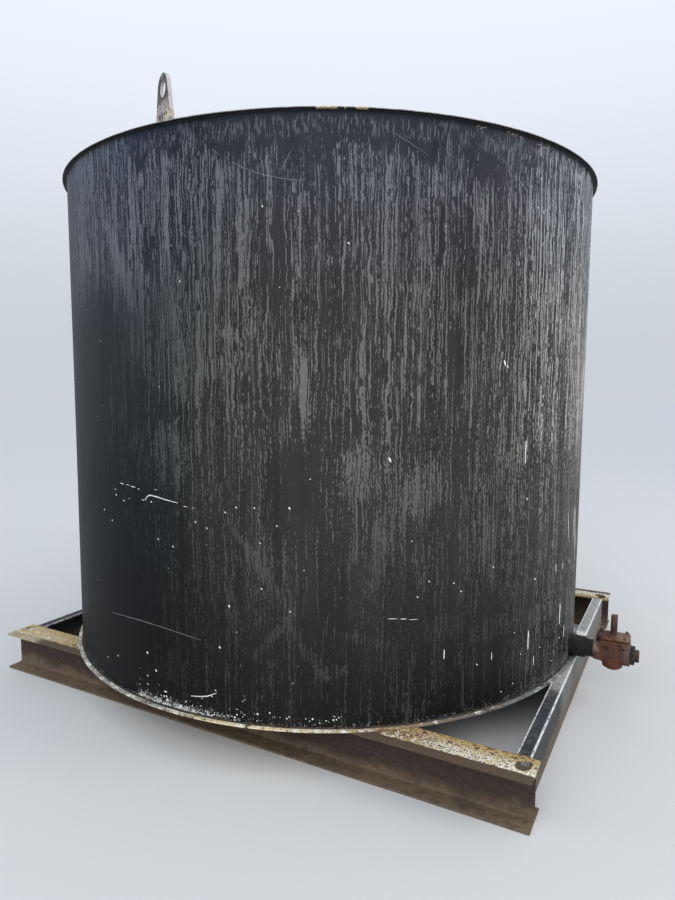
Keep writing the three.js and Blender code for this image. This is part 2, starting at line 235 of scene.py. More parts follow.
# How deep a point of the unrolled wall lies in a tilted patch: 1 well inside it, 0 outside.
# A patch is (angle, height, half width, half height, tilt), in degrees and metres.
def patchAt(tree, unrolled, patch):
    degrees, height, wide, tall, tilt = patch
    placed = addNode(tree, "ShaderNodeMapping", {
        "Vector": unrolled, "Location": (shellRadius * math.radians(degrees), height, 0.0),
        "Rotation": (0.0, 0.0, math.radians(tilt)), "Scale": (wide, tall, 1.0)}, vector_type="TEXTURE")
    return rise(tree, vectorCalc(tree, "LENGTH", placed.outputs[0]), 1.3, 0.5)


# Adds a share of each patch to a value
def patched(tree, value, unrolled, patches, share):
    for patch in patches:
        value = calc(tree, "MULTIPLY_ADD", patchAt(tree, unrolled, patch), share, value)
    return value


# Lays colours over one another, each as far as its mask says
def layered(tree, colour, *layers):
    for mask, tint in layers:
        colour = mixColour(tree, mask, colour, tint)
    return colour


def tinted(tree, colour, tint):
    return mixColour(tree, 1.0, colour, tint, "MULTIPLY")


# Black satin paint with the pale runs that rain and salts leave on it, and painted light: sky reflection,
# shade on the lower left and highlights on the runs to the right
def shellPaint():
    look = {
        "paint": (0.0075, 0.0076, 0.0078), "film": (0.036, 0.0357, 0.0349), "runs": (0.172, 0.171, 0.166),
        "runsPaintedHighlight": (0.56, 0.555, 0.53), "overspray": (0.84, 0.84, 0.81),
        "skyReflection": (0.88, 0.96, 1.36), "warmLight": (1.05, 1.02, 0.91), "skyReflectionLeft": (0.76, 0.97, 1.24),
        "paintedShadeLowLeft": (0.0022, 0.0022, 0.0024), "threshold": 0.552, "edge": 0.013, "patchiness": 0.19,
        "columns": 0.12, "roughness": 0.46, "roughnessRuns": 0.74, "gloss": 0.10,
        "shifts": {"smears": -0.075, "faintSmears": -0.065, "clears": 0.075, "thinned": 0.030},
        "smears": (
            (-100.5, 1.95, 0.040, 0.28, 24), (-88.4, 2.15, 0.018, 0.26, 0), (-86.2, 1.55, 0.028, 0.30, 6),
            (-78.7, 1.92, 0.016, 0.22, 0), (-74.1, 1.88, 0.013, 0.26, -2), (-76.6, 1.61, 0.060, 0.030, -10),
            (-65.6, 1.44, 0.030, 0.20, 8), (-52.6, 1.90, 0.014, 0.24, 0), (-57.0, 1.05, 0.090, 0.12, 0),
            (-46.0, 0.98, 0.15, 0.10, 60), (-53.0, 0.74, 0.040, 0.16, 0), (-46.4, 0.68, 0.045, 0.12, 0),
            (-32.6, 0.70, 0.040, 0.18, 5), (-89.0, 1.10, 0.10, 0.16, 0),
        ),
        "clears": (
            (-69.8, 1.92, 0.075, 0.24, 0), (-93.0, 1.97, 0.055, 0.10, 0), (-35.2, 2.26, 0.085, 0.07, 0),
            (-96.0, 1.36, 0.10, 0.17, 0), (-109.0, 1.55, 0.20, 0.35, 0), (-40.5, 1.50, 0.028, 0.20, 0),
            (-67.0, 0.96, 0.12, 0.22, 0), (-38.8, 1.12, 0.055, 0.14, 0),
        ),
        "thinned": (
            (-34.5, 1.95, 0.22, 0.50, 0), (-84.5, 1.10, 0.24, 0.40, 0), (-79.0, 0.60, 0.10, 0.30, 0),
        ),
        "faintSmears": (
            (-72.0, 0.66, 0.026, 0.27, 35), (-77.0, 0.48, 0.030, 0.18, 12), (-64.6, 0.33, 0.030, 0.20, 35),
            (-70.4, 0.38, 0.020, 0.14, -40), (-56.0, 0.38, 0.024, 0.16, 75), (-42.0, 0.40, 0.10, 0.06, 0),
            (-31.0, 0.36, 0.14, 0.06, 0), (-60.5, 0.24, 0.10, 0.03, 15),
        ),
    }
    material, tree, where = startMaterial("shell_paint")
    height = minus(tree, splitUp(tree, where)["Z"], shellLow.z)
    turn = turnAt(tree, where)
    unrolled = joinUp(tree, X=times(tree, turn, shellRadius), Y=height)

    def sideways(start, end, base=0.0, top=1.0):
        return rise(tree, turn, math.radians(start), math.radians(end), base, top)

    def upwards(start, end, base=0.0, top=1.0):
        return rise(tree, height, start, end, base, top)

    loose = wobbled(tree, where, 6.0, (0.026, 0.026, 0.04))
    bent = wobbled(tree, loose, 24.0, (0.009, 0.009, 0.02))
    shaky = wobbled(tree, bent, 85.0, (0.0032, 0.0032, 0.008))
    lines = grain(tree, scaled(tree, shaky, (150.0, 150.0, 1.6)), 1.0, 2.0, 0.42)
    fine = grain(tree, scaled(tree, shaky, (260.0, 260.0, 3.2), (3.0, 1.0, 2.0)), 1.0, 1.0, 0.5)
    crinkle = grain(tree, scaled(tree, where, (1.0, 1.0, 0.42)), 165.0, 2.0, 0.5)
    cloud = grain(tree, scaled(tree, where, (2.2, 2.2, 1.1)), 1.0, 3.0, 0.55)
    column = grain(tree, scaled(tree, where, (13.0, 13.0, 0.7)), 1.0, 2.0, 0.5)
    # The threshold that a pale run has to pass, lower where runs are dense
    needed = about(tree, cloud, -look["patchiness"], look["threshold"])
    needed = about(tree, column, -look["columns"], needed)
    starts = plus(tree, about(tree, column, 0.40, height), sideways(-45, -5, 0.0, -0.08))
    needed = plus(tree, needed, upwards(1.20, 0.20, 0.0, 0.045),
                  times(tree, rise(tree, starts, 2.29, 2.375, 0.0, 0.17), sideways(-104, -92)),
                  sideways(-44, -12, 0.0, -0.010),
                  times(tree, sideways(-84, -100), upwards(1.98, 1.45, -0.035, 0.012)))
    for kind, shift in look["shifts"].items():
        needed = patched(tree, needed, unrolled, look[kind], shift)
    broken = rise(tree, about(tree, cloud, 0.9, height), 1.65, 0.95, 0.12, 0.30)
    value = calc(tree, "MULTIPLY_ADD", minus(tree, crinkle, lines), broken, lines)
    broadRuns = rise(tree, value, needed, plus(tree, needed, look["edge"]))
    value = calc(tree, "MULTIPLY_ADD", minus(tree, crinkle, fine), broken, fine)
    fineNeeded = plus(tree, needed, 0.015)
    fineRuns = rise(tree, value, fineNeeded, plus(tree, fineNeeded, 0.04), 0.0, 0.60)
    dashes = grain(tree, scaled(tree, bent, (150.0, 150.0, 20.0)), 1.0, 1.0, 0.5)
    dashes = times(tree, rise(tree, dashes, 0.53, 0.59),
                   span(tree, about(tree, column, 0.10, height), 2.35, 2.415, 0.012),
                   sideways(-104, -96, 0.0, 0.6))
    runs = larger(tree, broadRuns, fineRuns, dashes)
    # A thin pale film over the black, darker towards the bottom, with painted shade on the lower left and
    # painted light on the right, and the pale runs on it
    smear = grain(tree, scaled(tree, loose, (15.0, 15.0, 0.8), (7.0, 2.0, 5.0)), 1.0, 3.0, 0.55)
    paintedLightAndShade = times(tree, larger(tree, upwards(0.9, 1.9, 0.10, 0.54), sideways(-106, -60)),
                   sideways(-56, -36, 1.0, 0.78), sideways(-30, -12, 1.0, upwards(0.2, 1.0, 0.80, 1.30)),
                   upwards(1.2, 1.9, 1.0, 0.88))
    powder = grain(tree, where, 230.0, 2.0, 0.6)
    amount = times(tree, upwards(-0.2, 0.95, 0.0, 1.2), rise(tree, smear, 0.25, 0.75, 0.62, 1.24),
                   rise(tree, powder, 0.3, 0.7, 0.86, 1.14), paintedLightAndShade)
    colour = mixColour(tree, amount, look["paint"], look["film"])
    # Painted shade: the lower left of the wall is darkened towards black
    paintedShadeLowLeft = times(tree, sideways(-66, -98), upwards(1.3, 0.15), 0.75)
    colour = mixColour(tree, paintedShadeLowLeft, colour, look["paintedShadeLowLeft"])
    # Painted reflection: the film is tinted a cold sky colour high up and more so on the left, and a warm
    # light colour lower down; the runs take part of this tint
    tint = mixColour(tree, upwards(1.40, 2.55), look["warmLight"], look["skyReflection"])
    tint = mixColour(tree, sideways(-72, -100), tint, tinted(tree, tint, look["skyReflectionLeft"]))
    colour = tinted(tree, colour, tint)
    # Painted highlight: the pale runs get a much brighter colour towards the right side, most at middle
    # heights
    bright = times(tree, sideways(-38, -10), upwards(0.5, 1.4, 0.45, 1.0), upwards(1.65, 2.05, 1.0, 0.78))
    runColour = mixColour(tree, bright, look["runs"], look["runsPaintedHighlight"])
    runColour = mixColour(tree, 0.35, runColour, tinted(tree, runColour, tint))
    ramp = larger(tree, upwards(0.3, 1.5, 0.25, 1.0), sideways(-34, -10, 0.0, 0.6))
    # Painted shade: the runs are weaker on the lower left
    runsInPaintedShade = larger(tree, sideways(-102, -64, 0.22, 1.0), upwards(1.4, 2.1, 0.0, 0.85))
    strength = times(tree, ramp, runsInPaintedShade, rise(tree, crinkle, 0.30, 0.70, 0.78, 1.05))
    colour = mixColour(tree, times(tree, runs, strength), colour, runColour)
    # White overspray just over the foot
    clumps = grain(tree, where, 48.0, 3.0, 0.6)
    level = about(tree, clumps, 0.05, about(tree, cloud, 0.06, height))
    shade = plus(tree, rise(tree, level, 0.0, 0.080, 0.42, 0.80),
                 plus(tree, sideways(-95, -101, 0.0, 0.22), sideways(-90, -72, 0.0, 0.20)))
    sprayed = rise(tree, about(tree, clumps, -0.30, powder), shade, plus(tree, shade, 0.03))
    haze = times(tree, sideways(-30, -12), upwards(0.07, 0.0), rise(tree, powder, 0.45, 0.62, 0.0, 0.16))
    sprayed = larger(tree, times(tree, sprayed, 0.95), haze)
    colour = mixColour(tree, sprayed, colour, look["overspray"])
    shine = calc(tree, "MULTIPLY_ADD", runs, look["roughnessRuns"] - look["roughness"], look["roughness"])
    roughness = calc(tree, "MULTIPLY_ADD", smear, 0.08, shine)
    # The runs stay out of the relief, because a bump works its height out three times
    relief = calc(tree, "MULTIPLY_ADD", powder, 0.4, crinkle)
    return endMaterial(material, colour, roughness, look["gloss"], relief, 0.0005, 0.6)


# The roof's paint, duller and dustier, with rust where water stands and chips on its edge
def roofPaint():
    look = {
        "paint": (0.010, 0.010, 0.011), "faded": (0.050, 0.050, 0.050), "dust": (0.17, 0.145, 0.11),
        "rust": (0.095, 0.034, 0.014), "chip": (0.50, 0.33, 0.18), "chipLight": (0.80, 0.72, 0.58),
        # the rim colours are a painted highlight on the plate's edge
        "primer": (0.30, 0.13, 0.10), "rim": (0.21, 0.215, 0.21), "rimHighlightPale": (0.42, 0.42, 0.40),
        "chips": ((-61.7, 1.6), (-56.5, 0.9), (-59.0, 0.12)), "smallChips": (-38.0, -20.0),
    }
    material, tree, where = startMaterial("roof_paint")
    x, y, z = splitUp(tree, where)
    turn = calc(tree, "ARCTAN2", y, x)
    radius = vectorCalc(tree, "LENGTH", scaled(tree, where, (1.0, 1.0, 0.0)))
    up = rise(tree, splitUp(tree, facingOf(tree))["Z"], 0.25, 0.75)
    cloud = grain(tree, where, 1.6, 5.0, 0.6)
    mottle = grain(tree, where, 22.0, 5.0, 0.65)
    speck = grain(tree, where, 140.0, 3.0, 0.6)
    patches = grain(tree, where, 9.0, 6.0, 0.7)
    dust = times(tree, up, rise(tree, cloud, 0.42, 0.68), rise(tree, speck, 0.3, 0.7, 0.3, 0.9), 0.6)
    rust = times(tree, up, rise(tree, patches, 0.60, 0.68), rise(tree, speck, 0.38, 0.55))
    ragged = about(tree, mottle, 0.10, radius)
    ponds = times(tree, up, rise(tree, ragged, 1.38, 1.46, 0.0, 0.5), rise(tree, speck, 0.50, 0.62))
    # The roof plate's edge face gets a painted highlight, grey and mottled paler, where the sky lights it,
    # and chips reach from it onto the overhang's underside
    rim = rise(tree, radius, roofRadius - 0.0024, roofRadius - 0.0010)
    level = minus(tree, z, edgeTop - plate)
    rubbed = times(tree, rim, rise(tree, level, 0.0008, 0.0022), rise(tree, mottle, 0.30, 0.46, 0.35, 1.0))
    pale = mixColour(tree, rise(tree, mottle, 0.50, 0.62), look["rim"], look["rimHighlightPale"])
    colour = layered(tree, look["paint"], (times(tree, up, rise(tree, mottle, 0.35, 0.70)), look["faded"]),
                     (dust, look["dust"]), (rust, look["rust"]), (ponds, look["rust"]), (rubbed, pale))
    wavy = about(tree, speck, math.radians(1.0), turn)
    torn = about(tree, speck, 0.018, radius)
    overhang = rise(tree, torn, shellRadius + 0.004, shellRadius + 0.007)
    bare = mixColour(tree, rise(tree, speck, 0.46, 0.60), look["chip"], look["chipLight"])
    for middle, half in look["chips"]:
        start = math.radians(middle - half)
        end = math.radians(middle + half)
        chip = span(tree, wavy, start, end, math.radians(0.10))
        colour = mixColour(tree, times(tree, chip, overhang), colour, bare)
    start, end = (math.radians(value) for value in look["smallChips"])
    few = times(tree, span(tree, turn, start, end, 0.03), overhang, rise(tree, speck, 0.60, 0.66))
    colour = mixColour(tree, few, colour, look["primer"])
    roughness = rise(tree, mottle, 0.2, 0.8, 0.5, 0.8)
    return endMaterial(material, colour, roughness, 0.30, plus(tree, mottle, speck), 0.0008, 0.5)


# The bottom plate's bare edge, whose colour changes on its way round
def bottomEdge():
    look = {
        "first": (0.36, 0.355, 0.33),
        "changes": ((-100, -78, (0.78, 0.66, 0.41)), (-66, -54, (0.36, 0.26, 0.15)),
                    (-50, -38, (0.20, 0.175, 0.14)), (-38, -26, (0.21, 0.225, 0.23))),
        "white": (0.92, 0.90, 0.84), "rust": (0.14, 0.062, 0.026), "grime": (0.040, 0.035, 0.031),
    }
    material, tree, where = startMaterial("bottom_edge")
    ragged = about(tree, grain(tree, where, 6.0), 0.35, turnAt(tree, where))
    speck = grain(tree, where, 95.0, 4.0, 0.6)
    patches = grain(tree, where, 26.0, 5.0, 0.7)
    colour = look["first"]
    for start, end, tint in look["changes"]:
        colour = mixColour(tree, rise(tree, ragged, math.radians(start), math.radians(end)), colour, tint)
    fewer = rise(tree, ragged, math.radians(-66), math.radians(-40), 0.0, 0.05)
    white = rise(tree, minus(tree, patches, fewer), 0.52, 0.58, 0.0, 0.85)
    colour = layered(tree, colour, (white, look["white"]),
                     (rise(tree, patches, 0.43, 0.37, 0.0, 0.9), look["grime"]),
                     (rise(tree, speck, 0.58, 0.64, 0.0, 0.9), look["rust"]))
    return endMaterial(material, colour, 0.82, 0.3, plus(tree, speck, patches), 0.0015, 0.7)


# Worn cream paint over rust, a rust-stained inner edge and dried mud on the outer strip
def runnerPaint():
    look = {
        "cream": (0.68, 0.55, 0.29), "white": (0.97, 0.93, 0.80), "straw": (0.60, 0.46, 0.23),
        "stain": (0.52, 0.33, 0.11), "orange": (0.36, 0.215, 0.095), "tan": (0.50, 0.36, 0.18),
        "rust": (0.055, 0.028, 0.018), "mud": (0.135, 0.098, 0.062), "mudDark": (0.070, 0.050, 0.033),
        "steel": (0.040, 0.034, 0.031), "brown": (0.072, 0.040, 0.027), "soil": (0.17, 0.125, 0.080),
        "strawLeft": (0.62, 0.46, 0.24),
        "inner": 1.0675, "outer": 1.2325, "mudWidth": 0.045, "holeX": (-1.358, 1.473), "holeY": 1.110,
    }
    material, tree, where = startMaterial("skid_paint")
    x, y, z = splitUp(tree, where)
    across = calc(tree, "ABSOLUTE", y)
    cloud = grain(tree, where, 5.0, 4.0, 0.6)
    mottle = grain(tree, where, 34.0, 5.0, 0.65)
    flake = grain(tree, scaled(tree, where, (0.55, 1.0, 1.0)), 78.0, 4.0, 0.62)
    speck = grain(tree, where, 190.0, 3.0, 0.6)
    pitted = grain(tree, scaled(tree, where, (0.7, 1.0, 1.0)), 150.0, 2.0, 0.6)
    inwards = about(tree, mottle, 0.07, across)
    yellow = times(tree, rise(tree, inwards, look["inner"] + 0.085, look["inner"] + 0.040),
                   rise(tree, cloud, 0.30, 0.55, 0.5, 0.95))
    band = rise(tree, inwards, look["inner"] + 0.030, look["inner"] + 0.010)
    reach = about(tree, cloud, 0.30, calc(tree, "ABSOLUTE", x))
    leftEnd = times(tree, rise(tree, x, -0.90, -1.00), rise(tree, mottle, 0.62, 0.50), 0.80)
    share = rise(tree, x, -0.90, -1.05, 0.93, 0.40)
    colour = layered(
        tree, look["cream"], (rise(tree, flake, 0.42, 0.52), look["white"]), (yellow, look["straw"]),
        (times(tree, band, 0.8), look["stain"]),
        (times(tree, rise(tree, reach, 1.16, 1.02), rise(tree, mottle, 0.40, 0.54)), look["tan"]),
        (times(tree, rise(tree, reach, 1.05, 0.92), rise(tree, mottle, 0.46, 0.58)), look["orange"]),
        (leftEnd, look["strawLeft"]), (rise(tree, flake, 0.575, 0.60, 0.0, share), look["rust"]),
        (rise(tree, pitted, 0.55, 0.585, 0.0, share), look["rust"]))
    under = layered(tree, look["steel"], (rise(tree, flake, 0.38, 0.62), look["brown"]),
                    (cakedOn(tree, cloud, mottle, z, 0.075, 0.012, 0.35), look["soil"]))
    colour = mixColour(tree, rise(tree, z, 0.17, 0.196), under, colour)
    outwards = about(tree, mottle, 0.014, across)
    mudEdge = look["outer"] - look["mudWidth"]
    crust = rise(tree, outwards, mudEdge - 0.003, mudEdge + 0.003)
    flat = joinUp(tree, X=x, Y=across)
    for holeX in look["holeX"]:
        away = vectorCalc(tree, "DISTANCE", flat, (holeX - 0.010, look["holeY"] + 0.028, 0.0))
        ringed = about(tree, mottle, 0.03, away)
        crust = larger(tree, crust, rise(tree, ringed, 0.034, 0.028))
    crust = times(tree, crust, rise(tree, z, 0.12, 0.17), rise(tree, x, -1.20, -1.12, 0.35, 1.0))
    mud = mixColour(tree, rise(tree, speck, 0.35, 0.65), look["mudDark"], look["mud"])
    colour = mixColour(tree, crust, colour, mud)
    roughness = rise(tree, mottle, 0.3, 0.7, 0.62, 0.92)
    relief = calc(tree, "MULTIPLY_ADD", crust, speck, calc(tree, "MULTIPLY_ADD", mottle, 0.6, flake))
    return endMaterial(material, colour, roughness, 0.3, relief, 0.0016, 0.7)


# Grey-blue channel paint, rubbed bright along the edges, with soil caked on the lower part
def channelPaint():
    look = {
        "paint": (0.030, 0.033, 0.038), "worn": (0.085, 0.088, 0.090), "pale": (0.32, 0.315, 0.295),
        "bright": (0.92, 0.92, 0.90), "rust": (0.085, 0.036, 0.025), "dust": (0.16, 0.13, 0.09),
        "soil": (0.17, 0.125, 0.080), "palePart": -0.42, "patchAt": (1.476, 0.24, 0.0), "patchReach": 0.19,
    }
    material, tree, where = startMaterial("channel_paint")
    x, y, z = splitUp(tree, where)
    cloud = grain(tree, where, 4.5, 4.0, 0.6)
    mottle = grain(tree, where, 42.0, 5.0, 0.65)
    speck = grain(tree, where, 170.0, 3.0, 0.6)
    flaked = rise(tree, grain(tree, where, 65.0, 3.0, 0.6), 0.40, 0.46)
    ends = {name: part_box(name) for name in ("end_channel_right", "end_channel_left")}
    depth = ends["end_channel_right"][1].z
    top = rise(tree, z, depth - 0.014, depth - 0.006)
    ragged = about(tree, cloud, 0.4, y)
    far = rise(tree, ragged, look["palePart"] - 0.05, look["palePart"] + 0.10)
    dusty = times(tree, rise(tree, mottle, 0.56, 0.66), rise(tree, speck, 0.45, 0.60))
    light = layered(tree, look["pale"], (rise(tree, speck, 0.30, 0.75, 0.0, 0.35), look["bright"]),
                    (rise(tree, mottle, 0.44, 0.34, 0.0, 0.5), look["worn"]))
    away = vectorCalc(tree, "DISTANCE", scaled(tree, where, (1.0, 1.0, 0.0)), look["patchAt"])
    near = rise(tree, about(tree, mottle, 0.10, away), look["patchReach"], look["patchReach"] - 0.05)
    rubbed = edgeWear(tree, 0.004)
    for low, high in ends.values():
        for edge in (low.x, high.x):
            away = about(tree, mottle, 0.012, calc(tree, "ABSOLUTE", minus(tree, x, edge)))
            rubbed = larger(tree, rubbed, times(tree, rise(tree, away, 0.0075, 0.0050), top))
    worn = times(tree, rubbed, rise(tree, mottle, 0.38, 0.54, 0.25, 1.0),
                 rise(tree, speck, 0.30, 0.50, 0.55, 1.0))
    rust = times(tree, rise(tree, mottle, 0.60, 0.66), rise(tree, speck, 0.42, 0.55))
    colour = layered(
        tree, look["paint"], (rise(tree, mottle, 0.42, 0.66), look["worn"]), (dusty, look["dust"]),
        (times(tree, far, rise(tree, top, 0.0, 1.0, 0.35, 0.95)), light),
        (times(tree, near, top, flaked), look["bright"]), (worn, look["bright"]), (rust, look["rust"]),
        (cakedOn(tree, cloud, mottle, z, 0.115, 0.030, 0.40), look["soil"]))
    roughness = rise(tree, mottle, 0.3, 0.7, 0.60, 0.90)
    return endMaterial(material, colour, roughness, 0.35, plus(tree, mottle, speck), 0.0012, 0.7)


# Lifting lug: black paint scraped by slings down to primer and bare metal, and a painted highlight on the
# plate's edge faces
def lugPaint():
    look = {
        "paint": (0.018, 0.019, 0.020), "grey": (0.085, 0.088, 0.090), "primer": (0.46, 0.40, 0.37),
        "primerDark": (0.15, 0.12, 0.11), "oxide": (0.080, 0.022, 0.018), "bare": (0.58, 0.52, 0.53),
        "cream": (0.56, 0.46, 0.36),
    }
    material, tree, where = startMaterial("lug_paint")
    axes = splitUp(tree, where)
    mottle = grain(tree, where, 26.0, 5.0, 0.62)
    speck = grain(tree, where, 170.0, 3.0, 0.6)
    fine = grain(tree, where, 120.0, 3.0, 0.6)
    patches = grain(tree, where, 55.0, 3.0, 0.55)
    outwards = (-math.sin(lugTurn), math.cos(lugTurn), 0.0)
    # Painted highlight: the faces across the plate's thickness are made pale like bare metal
    flatness = calc(tree, "ABSOLUTE", vectorCalc(tree, "DOT_PRODUCT", facingOf(tree), outwards))
    edgeFacesPaintedLight = times(tree, rise(tree, flatness, 0.80, 0.40), rise(tree, mottle, 0.30, 0.44, 0.3, 0.95))
    level = about(tree, mottle, 0.09, minus(tree, axes["Z"], lugSeat))
    primer = mixColour(tree, rise(tree, fine, 0.44, 0.56), look["primerDark"], look["primer"])
    rubbed = times(tree, edgeWear(tree, 0.003), rise(tree, mottle, 0.36, 0.52))
    colour = layered(tree, look["paint"], (rise(tree, mottle, 0.48, 0.66), look["grey"]),
                     (times(tree, rise(tree, level, 0.098, 0.080), 0.9), primer),
                     (rubbed, look["bare"]), (edgeFacesPaintedLight, look["bare"]))
    base = rise(tree, level, 0.050, 0.040)
    sideways = calc(tree, "ABSOLUTE", axes["X"])
    shift = calc(tree, "MULTIPLY_ADD", sideways, 2.5, minus(tree, patches, 0.125))
    for value, low, high, tint in ((shift, 0.46, 0.50, "cream"), (shift, 0.49, 0.46, "oxide"),
                                   (shift, 0.455, 0.43, "paint"), (speck, 0.58, 0.64, "paint")):
        colour = mixColour(tree, times(tree, base, rise(tree, value, low, high)), colour, look[tint])
    roughness = rise(tree, mottle, 0.3, 0.7, 0.45, 0.75)
    return endMaterial(material, colour, roughness, 0.5, plus(tree, mottle, speck), 0.0007, 0.6)


# Black pipe paint with dust on top
def nozzlePaint():
    look = {"paint": (0.006, 0.006, 0.007), "worn": (0.022, 0.021, 0.021), "dust": (0.13, 0.105, 0.08)}
    material, tree, where = startMaterial("nozzle_paint")
    mottle = grain(tree, where, 45.0, 5.0, 0.62)
    speck = grain(tree, where, 260.0, 3.0, 0.6)
    up = splitUp(tree, facingOf(tree))["Z"]
    settled = times(tree, rise(tree, up, 0.45, 0.95), rise(tree, speck, 0.42, 0.62),
                    rise(tree, mottle, 0.35, 0.6), 0.5)
    colour = layered(tree, look["paint"], (rise(tree, mottle, 0.40, 0.65), look["worn"]),
                     (settled, look["dust"]))
    roughness = rise(tree, mottle, 0.3, 0.7, 0.48, 0.75)
    return endMaterial(material, colour, roughness, 0.22, plus(tree, mottle, speck), 0.0005, 0.5)


# Rusted cast iron, from dark brown to orange. Each stain, painted shade or painted highlight is a colour, a
# share, and a start and an end along one axis between which it fades in.
def rustyIron(name, tints, stainsAndPaintedLight=()):
    look = {"dark": (0.040, 0.020, 0.015), "brown": (0.125, 0.050, 0.032), "orange": (0.215, 0.082, 0.040),
            "pale": (0.30, 0.22, 0.17), "metallic": 0.12}
    look.update(tints)
    material, tree, where = startMaterial(name)
    axes = splitUp(tree, where)
    cloud = grain(tree, where, 18.0, 4.0, 0.6)
    mottle = grain(tree, where, 75.0, 5.0, 0.68)
    speck = grain(tree, where, 380.0, 3.0, 0.6)
    worn = times(tree, edgeWear(tree, 0.0025), rise(tree, mottle, 0.40, 0.60), 0.7)
    scaly = times(tree, rise(tree, mottle, 0.60, 0.70), rise(tree, speck, 0.5, 0.6))
    colour = layered(
        tree, look["dark"], (rise(tree, mottle, 0.36, 0.64), look["brown"]),
        (times(tree, rise(tree, cloud, 0.42, 0.62), rise(tree, speck, 0.35, 0.65)), look["orange"]),
        (worn, look["pale"]), (scaly, look["pale"]))
    for tint, share, *spans in stainsAndPaintedLight:
        masks = [rise(tree, mottle, 0.30, 0.55, 0.45, 1.0)]
        for axis, start, end in spans:
            masks.append(rise(tree, about(tree, cloud, 0.02, axes[axis]), start, end))
        colour = mixColour(tree, times(tree, *masks, share), colour, tint)
    tree.nodes["Principled BSDF"].inputs["Metallic"].default_value = look["metallic"]
    roughness = rise(tree, speck, 0.3, 0.7, 0.66, 0.95)
    relief = calc(tree, "MULTIPLY_ADD", mottle, 1.4, speck)
    return endMaterial(material, colour, roughness, 0.5, relief, 0.0011, 0.8)


# Weld metal under paint or rust, with a slightly mottled skin
def weldMetal(name, first, second, roughness):
    material, tree, where = startMaterial(name)
    mottle = grain(tree, where, 60.0, 4.0, 0.6)
    speck = grain(tree, where, 300.0, 3.0, 0.6)
    colour = mixColour(tree, rise(tree, mottle, 0.38, 0.62), first, second)
    return endMaterial(material, colour, roughness, 0.35, speck, 0.0005, 0.5)


# Light chips and scratches, where the black paint is gone
def chipPaint(name, first, second):
    material, tree, where = startMaterial(name)
    speck = grain(tree, where, 220.0, 4.0, 0.65)
    colour = mixColour(tree, rise(tree, speck, 0.40, 0.62), first, second)
    return endMaterial(material, colour, 0.85, 0.5, speck, 0.0003, 0.5)


paints = {
    "shell": shellPaint(),
    "roof": roofPaint(),
    "bottom": bottomEdge(),
    "runner": runnerPaint(),
    "channel": channelPaint(),
    "lug": lugPaint(),
    "nozzle": nozzlePaint(),
    "casting": rustyIron("valve_rust", {}, [
        ((0.135, 0.040, 0.020), 0.85, ("Z", 0.262, 0.226), ("X", 1.590, 1.612)),
        # Painted highlight: the top of the hub is pale
        ((0.36, 0.265, 0.21), 0.80, ("X", 1.606, 1.578), ("Z", 0.258, 0.288)),
        ((0.155, 0.100, 0.078), 0.85, ("X", 1.694, 1.706), ("Z", 0.225, 0.262)),
        # Painted shade: the recessed collar behind the ring is near black
        ((0.012, 0.010, 0.010), 0.97, ("X", 1.7365, 1.7385)),
    ]),
    "cover": rustyIron("cover_rust", {"brown": (0.170, 0.070, 0.034), "orange": (0.34, 0.145, 0.058)}, [
        # Painted shade: the left end of the cover is dark
        ((0.022, 0.015, 0.013), 0.92, ("X", 1.612, 1.594)),
        ((0.30, 0.215, 0.165), 0.55, ("Z", 0.350, 0.354), ("X", 1.650, 1.690)),
        # Painted shade: the recessed waist between the cover's two plates is dark
        ((0.030, 0.013, 0.009), 0.90, ("Z", 0.3355, 0.3375), ("Z", 0.3455, 0.3435)),
    ]),
    "stem": rustyIron("stem_rust", {"brown": (0.115, 0.066, 0.046), "orange": (0.18, 0.105, 0.072)}, [
        # Painted shade: the left side of the square stem is dark
        ((0.014, 0.010, 0.010), 0.93, ("X", 1.6530, 1.6500)),
    ]),
    "plug": rustyIron("plug_rust", {"brown": (0.085, 0.056, 0.044), "orange": (0.14, 0.092, 0.070)}, [
        # Painted shade: the lower part of the hex plug is dark
        ((0.016, 0.011, 0.010), 0.90, ("Z", 0.262, 0.244)),
    ]),
    "nuts": rustyIron("nut_rust", {"brown": (0.17, 0.12, 0.09), "orange": (0.28, 0.17, 0.10)}),
    "weldBlack": weldMetal("weld_black", (0.012, 0.012, 0.013), (0.030, 0.029, 0.029), 0.55),
    "weldFoot": weldMetal("weld_foot", (0.016, 0.015, 0.015), (0.10, 0.075, 0.05), 0.75),
    "weldLug": weldMetal("weld_lug_grey", (0.14, 0.14, 0.14), (0.44, 0.43, 0.42), 0.6),
    "weldSkid": weldMetal("weld_skid", (0.11, 0.065, 0.040), (0.30, 0.25, 0.17), 0.8),
    "white": chipPaint("white_marks", (0.97, 0.97, 0.95), (0.70, 0.70, 0.68)),
    "faint": chipPaint("faint_marks", (0.30, 0.305, 0.31), (0.10, 0.102, 0.105)),
    "rusty": chipPaint("rust_marks", (0.11, 0.060, 0.055), (0.40, 0.33, 0.31)),
}
print("materials made", len(paints))


# Mesh helpers
def addObject(name, data):
    piece = bpy.data.objects.new(name, data)
    scene.collection.objects.link(piece)
    return piece


def makePiece(name, vertices, faces, material, sharp=35):
    mesh = bpy.data.meshes.new(name)
    mesh.from_pydata([tuple(point) for point in vertices], [], faces)
    mesh.materials.append(material)
    piece = addObject(name, mesh)
    turnOutwards(piece)
    smoothUp(piece, sharp)
    return piece


def turnOutwards(piece):
    mesh = bmesh.new()
    mesh.from_mesh(piece.data)
    bmesh.ops.remove_doubles(mesh, verts=mesh.verts, dist=1e-7)
    bmesh.ops.recalc_face_normals(mesh, faces=mesh.faces)
    mesh.to_mesh(piece.data)
    mesh.free()


def smoothUp(piece, sharp=35):
    piece.data.shade_smooth()
    piece.data.set_sharp_from_angle(angle=math.radians(sharp))


